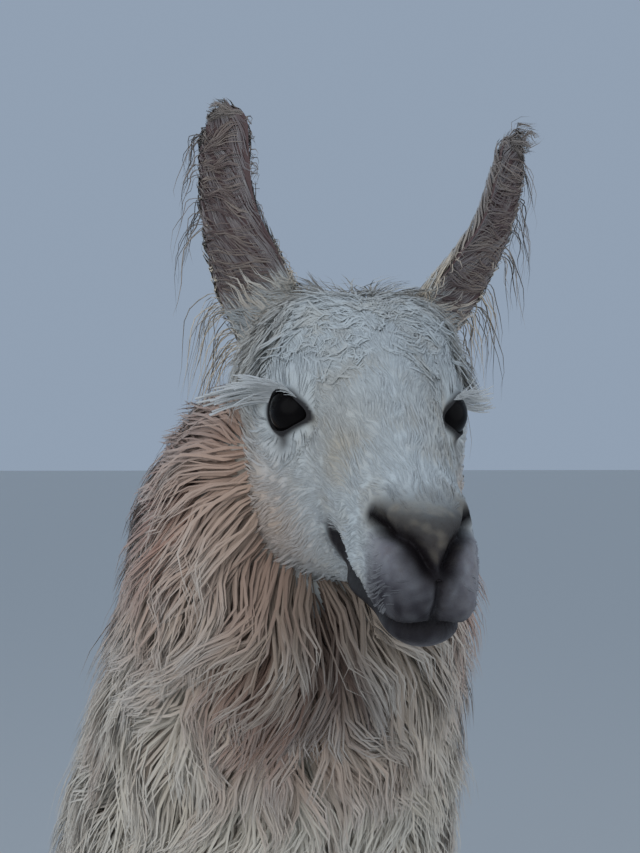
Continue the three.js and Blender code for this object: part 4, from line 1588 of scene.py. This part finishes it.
def dress_skin():
    """Colours the skin, marks where it is bare and lets it stand for the solids of the flesh."""
    skin.data.materials.clear()
    points = mesh_points(skin.data)
    bare = bare_share(mirrored(frame_to_head(points)))
    store(skin.data, "tint", np.concatenate([skin_colour(points), bare[:, None]], 1))
    skin.data.materials.append(skin_material())
    flesh = [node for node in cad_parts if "nail" not in node and "eye" not in node]
    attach(skin, "root")
    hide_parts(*flesh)


def dress_eyes():
    look = Paint("eye").surface(Base_Color=EYE_BLACK, Roughness=0.25, Specular_IOR_Level=0.06)
    for name, side in (("eye_left", 1), ("eye_right", -1)):
        eye = ball(name + "_ball", side, EYE_RADIUS, CORNEA_RISE)
        eye.data.materials.append(look)
        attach(eye, "root")
        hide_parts(name)


def dress_nails():
    horn = nail_material()
    for leg, (_, x, y) in LEGS.items():
        for name, side in (("left", 1), ("right", -1)):
            form = nail_form((x, y), side)
            nail = lofted(f"{leg}_{name}_nail", form, np.linspace(0, 1, 14), round_about(36))
            nail.data.materials.append(horn)
            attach(nail, "root")
            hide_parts(f"{leg}_nail_{name}")


wool = wool_material()
for coat in coats:
    coat.data.materials.append(wool)
dress_skin()
dress_eyes()
dress_nails()


# ---- lashes -----------------------------------------------------------------------------------------
LASHES = 120
LASH_SEED = 7


def bristle_nodes():
    """A node group that stands a curved tapering bristle on every point, along its way and of its reach."""
    tree = bpy.data.node_groups.new("bristles", "GeometryNodeTree")
    tree.interface.new_socket("Geometry", in_out="INPUT", socket_type="NodeSocketGeometry")
    for name, kind, value in (("Thickness", "Float", 0.016), ("Bend", "Float", 0.14),
                              ("Unevenness", "Float", 0.3), ("Seed", "Int", LASH_SEED)):
        socket = tree.interface.new_socket(name, in_out="INPUT", socket_type="NodeSocket" + kind)
        socket.default_value = value
    tree.interface.new_socket("Material", in_out="INPUT", socket_type="NodeSocketMaterial")
    tree.interface.new_socket("Geometry", in_out="OUTPUT", socket_type="NodeSocketGeometry")

    def node(kind, settings=None, inputs=None, out=0):
        return add_node(tree, kind, settings, inputs).outputs[out]

    def maths(operation, first, second):
        return node("ShaderNodeMath", {"operation": operation}, {0: first, 1: second})

    def named(attribute, kind):
        return node("GeometryNodeInputNamedAttribute", {"data_type": kind}, {"Name": attribute})

    given = add_node(tree, "NodeGroupInput").outputs
    bend = node("ShaderNodeCombineXYZ", {}, {"X": given["Bend"], "Z": 0.5})
    spine = node("GeometryNodeCurveQuadraticBezier", {},
                 {"Resolution": 6, "Start": (0, 0, 0), "End": (0, 0, 1), "Middle": bend})
    taper = maths("SUBTRACT", 1.05, node("GeometryNodeSplineParameter", out="Factor"))
    tapered = node("GeometryNodeSetCurveRadius", {}, {"Curve": spine, "Radius": taper})
    circle = node("GeometryNodeCurvePrimitiveCircle", {}, {"Resolution": 5, "Radius": given["Thickness"]})
    bristle = node("GeometryNodeCurveToMesh", {},
                   {"Curve": tapered, "Profile Curve": circle, "Fill Caps": True})
    way = named("way", "FLOAT_VECTOR")
    turned = node("FunctionNodeAlignRotationToVector", {"axis": "Z"}, {"Vector": way})
    uneven = node("FunctionNodeRandomValue", {"data_type": "FLOAT"}, {"Seed": given["Seed"]}, out=1)
    share = maths("SUBTRACT", 1.0, maths("MULTIPLY", uneven, given["Unevenness"]))
    size = maths("MULTIPLY", named("reach", "FLOAT"), share)
    placed = node("GeometryNodeInstanceOnPoints", {},
                  {"Points": given["Geometry"], "Instance": bristle, "Rotation": turned, "Scale": size})
    real = node("GeometryNodeRealizeInstances", {}, {"Geometry": placed})
    dressed = node("GeometryNodeSetMaterial", {}, {"Geometry": real, "Material": given["Material"]})
    add_node(tree, "NodeGroupOutput", {}, {"Geometry": dressed})
    return tree


def bristles(tree, name, roots, ways, reaches, material, seed):
    """Bristles as one plain mesh, from roots, directions and lengths in the shared frame."""
    made = mesh_object(name, roots, [])
    way = made.data.attributes.new("way", "FLOAT_VECTOR", "POINT")
    way.data.foreach_set("vector", unit(ways).astype(np.float32).ravel())
    reach = made.data.attributes.new("reach", "FLOAT", "POINT")
    reach.data.foreach_set("value", reaches.astype(np.float32))
    step = made.modifiers.new("bristles", "NODES")
    step.node_group = tree
    names = {item.name: item.identifier for item in tree.interface.items_tree if item.in_out == "INPUT"}
    step[names["Material"]] = material
    step[names["Seed"]] = seed
    settled(made)
    shade_smooth(made.data)
    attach(made, "root")


# how far a lash's root stands from the middle of the eye
LASH_ROOT = EYE_RADIUS + 2.6


def lashes(name, side, tree, material):
    """Long pale lashes over the middle and rear of an upper lid, swept out and back."""
    chance = np.random.default_rng(700 + side)
    sight, forward, up = eye_axes(side)
    angle = chance.uniform(0.7, 2.9, LASHES)
    ahead, raised = lid_outline(angle)
    rim = forward * ahead[:, None] + up * (raised + 0.8)[:, None]
    depth = np.sqrt(np.maximum(LASH_ROOT ** 2 - np.sum(rim * rim, -1), 30))
    roots = eye_place(side) + rim + sight * (depth + chance.uniform(-1.2, 0.6, LASHES))[:, None]
    back = soft(angle, 1.0, 2.6)
    ways = (sight * 0.75 - forward * (0.05 + 0.9 * back)[:, None] + up * (0.32 - 0.4 * back)[:, None]
            + chance.normal(0, 0.13, (LASHES, 3)))
    longest = 0.015 + (0.034 - 0.012 * side) * back - 0.002 * side
    reaches = longest * chance.uniform(0.6, 1.1, LASHES)
    bristles(tree, name, head_to_frame(roots), head_way(ways), reaches, material, LASH_SEED)


bristle_tree = bristle_nodes()
pale_hair = Paint("pale_hair").surface(Base_Color=PALE_GREY, Roughness=0.6, Specular_IOR_Level=0.3)
lashes("lashes_right", -1, bristle_tree, pale_hair)
lashes("lashes_left", 1, bristle_tree, pale_hair)


# ---- the studio -------------------------------------------------------------------------------------
FLOOR_HALF = 300
DUSK_BLUE = (0.42, 0.52, 0.66, 1)
DUSK_STRENGTH = 0.68


def make_studio():
    """A plain pale floor under soft cool light."""
    world = bpy.data.worlds.new("studio")
    world.use_nodes = True
    background = world.node_tree.nodes["Background"]
    background.inputs["Color"].default_value = DUSK_BLUE
    background.inputs["Strength"].default_value = DUSK_STRENGTH
    bpy.context.scene.world = world
    bpy.context.scene.view_settings.view_transform = "Standard"
    add_light("key", place=(-2.4, -2.7, 2.6), size=4.0, watts=42)
    add_light("fill", place=(2.6, -2.4, 2.0), size=3.6, watts=20)
    corners = np.array([(-1, -1, 0), (1, -1, 0), (1, 1, 0), (-1, 1, 0)], float) * FLOOR_HALF
    floor = mesh_object("floor", corners, [(0, 1, 2, 3)])
    floor.data.materials.append(Paint("floor").surface(Base_Color=PALE_GREY, Roughness=0.9))


make_studio()
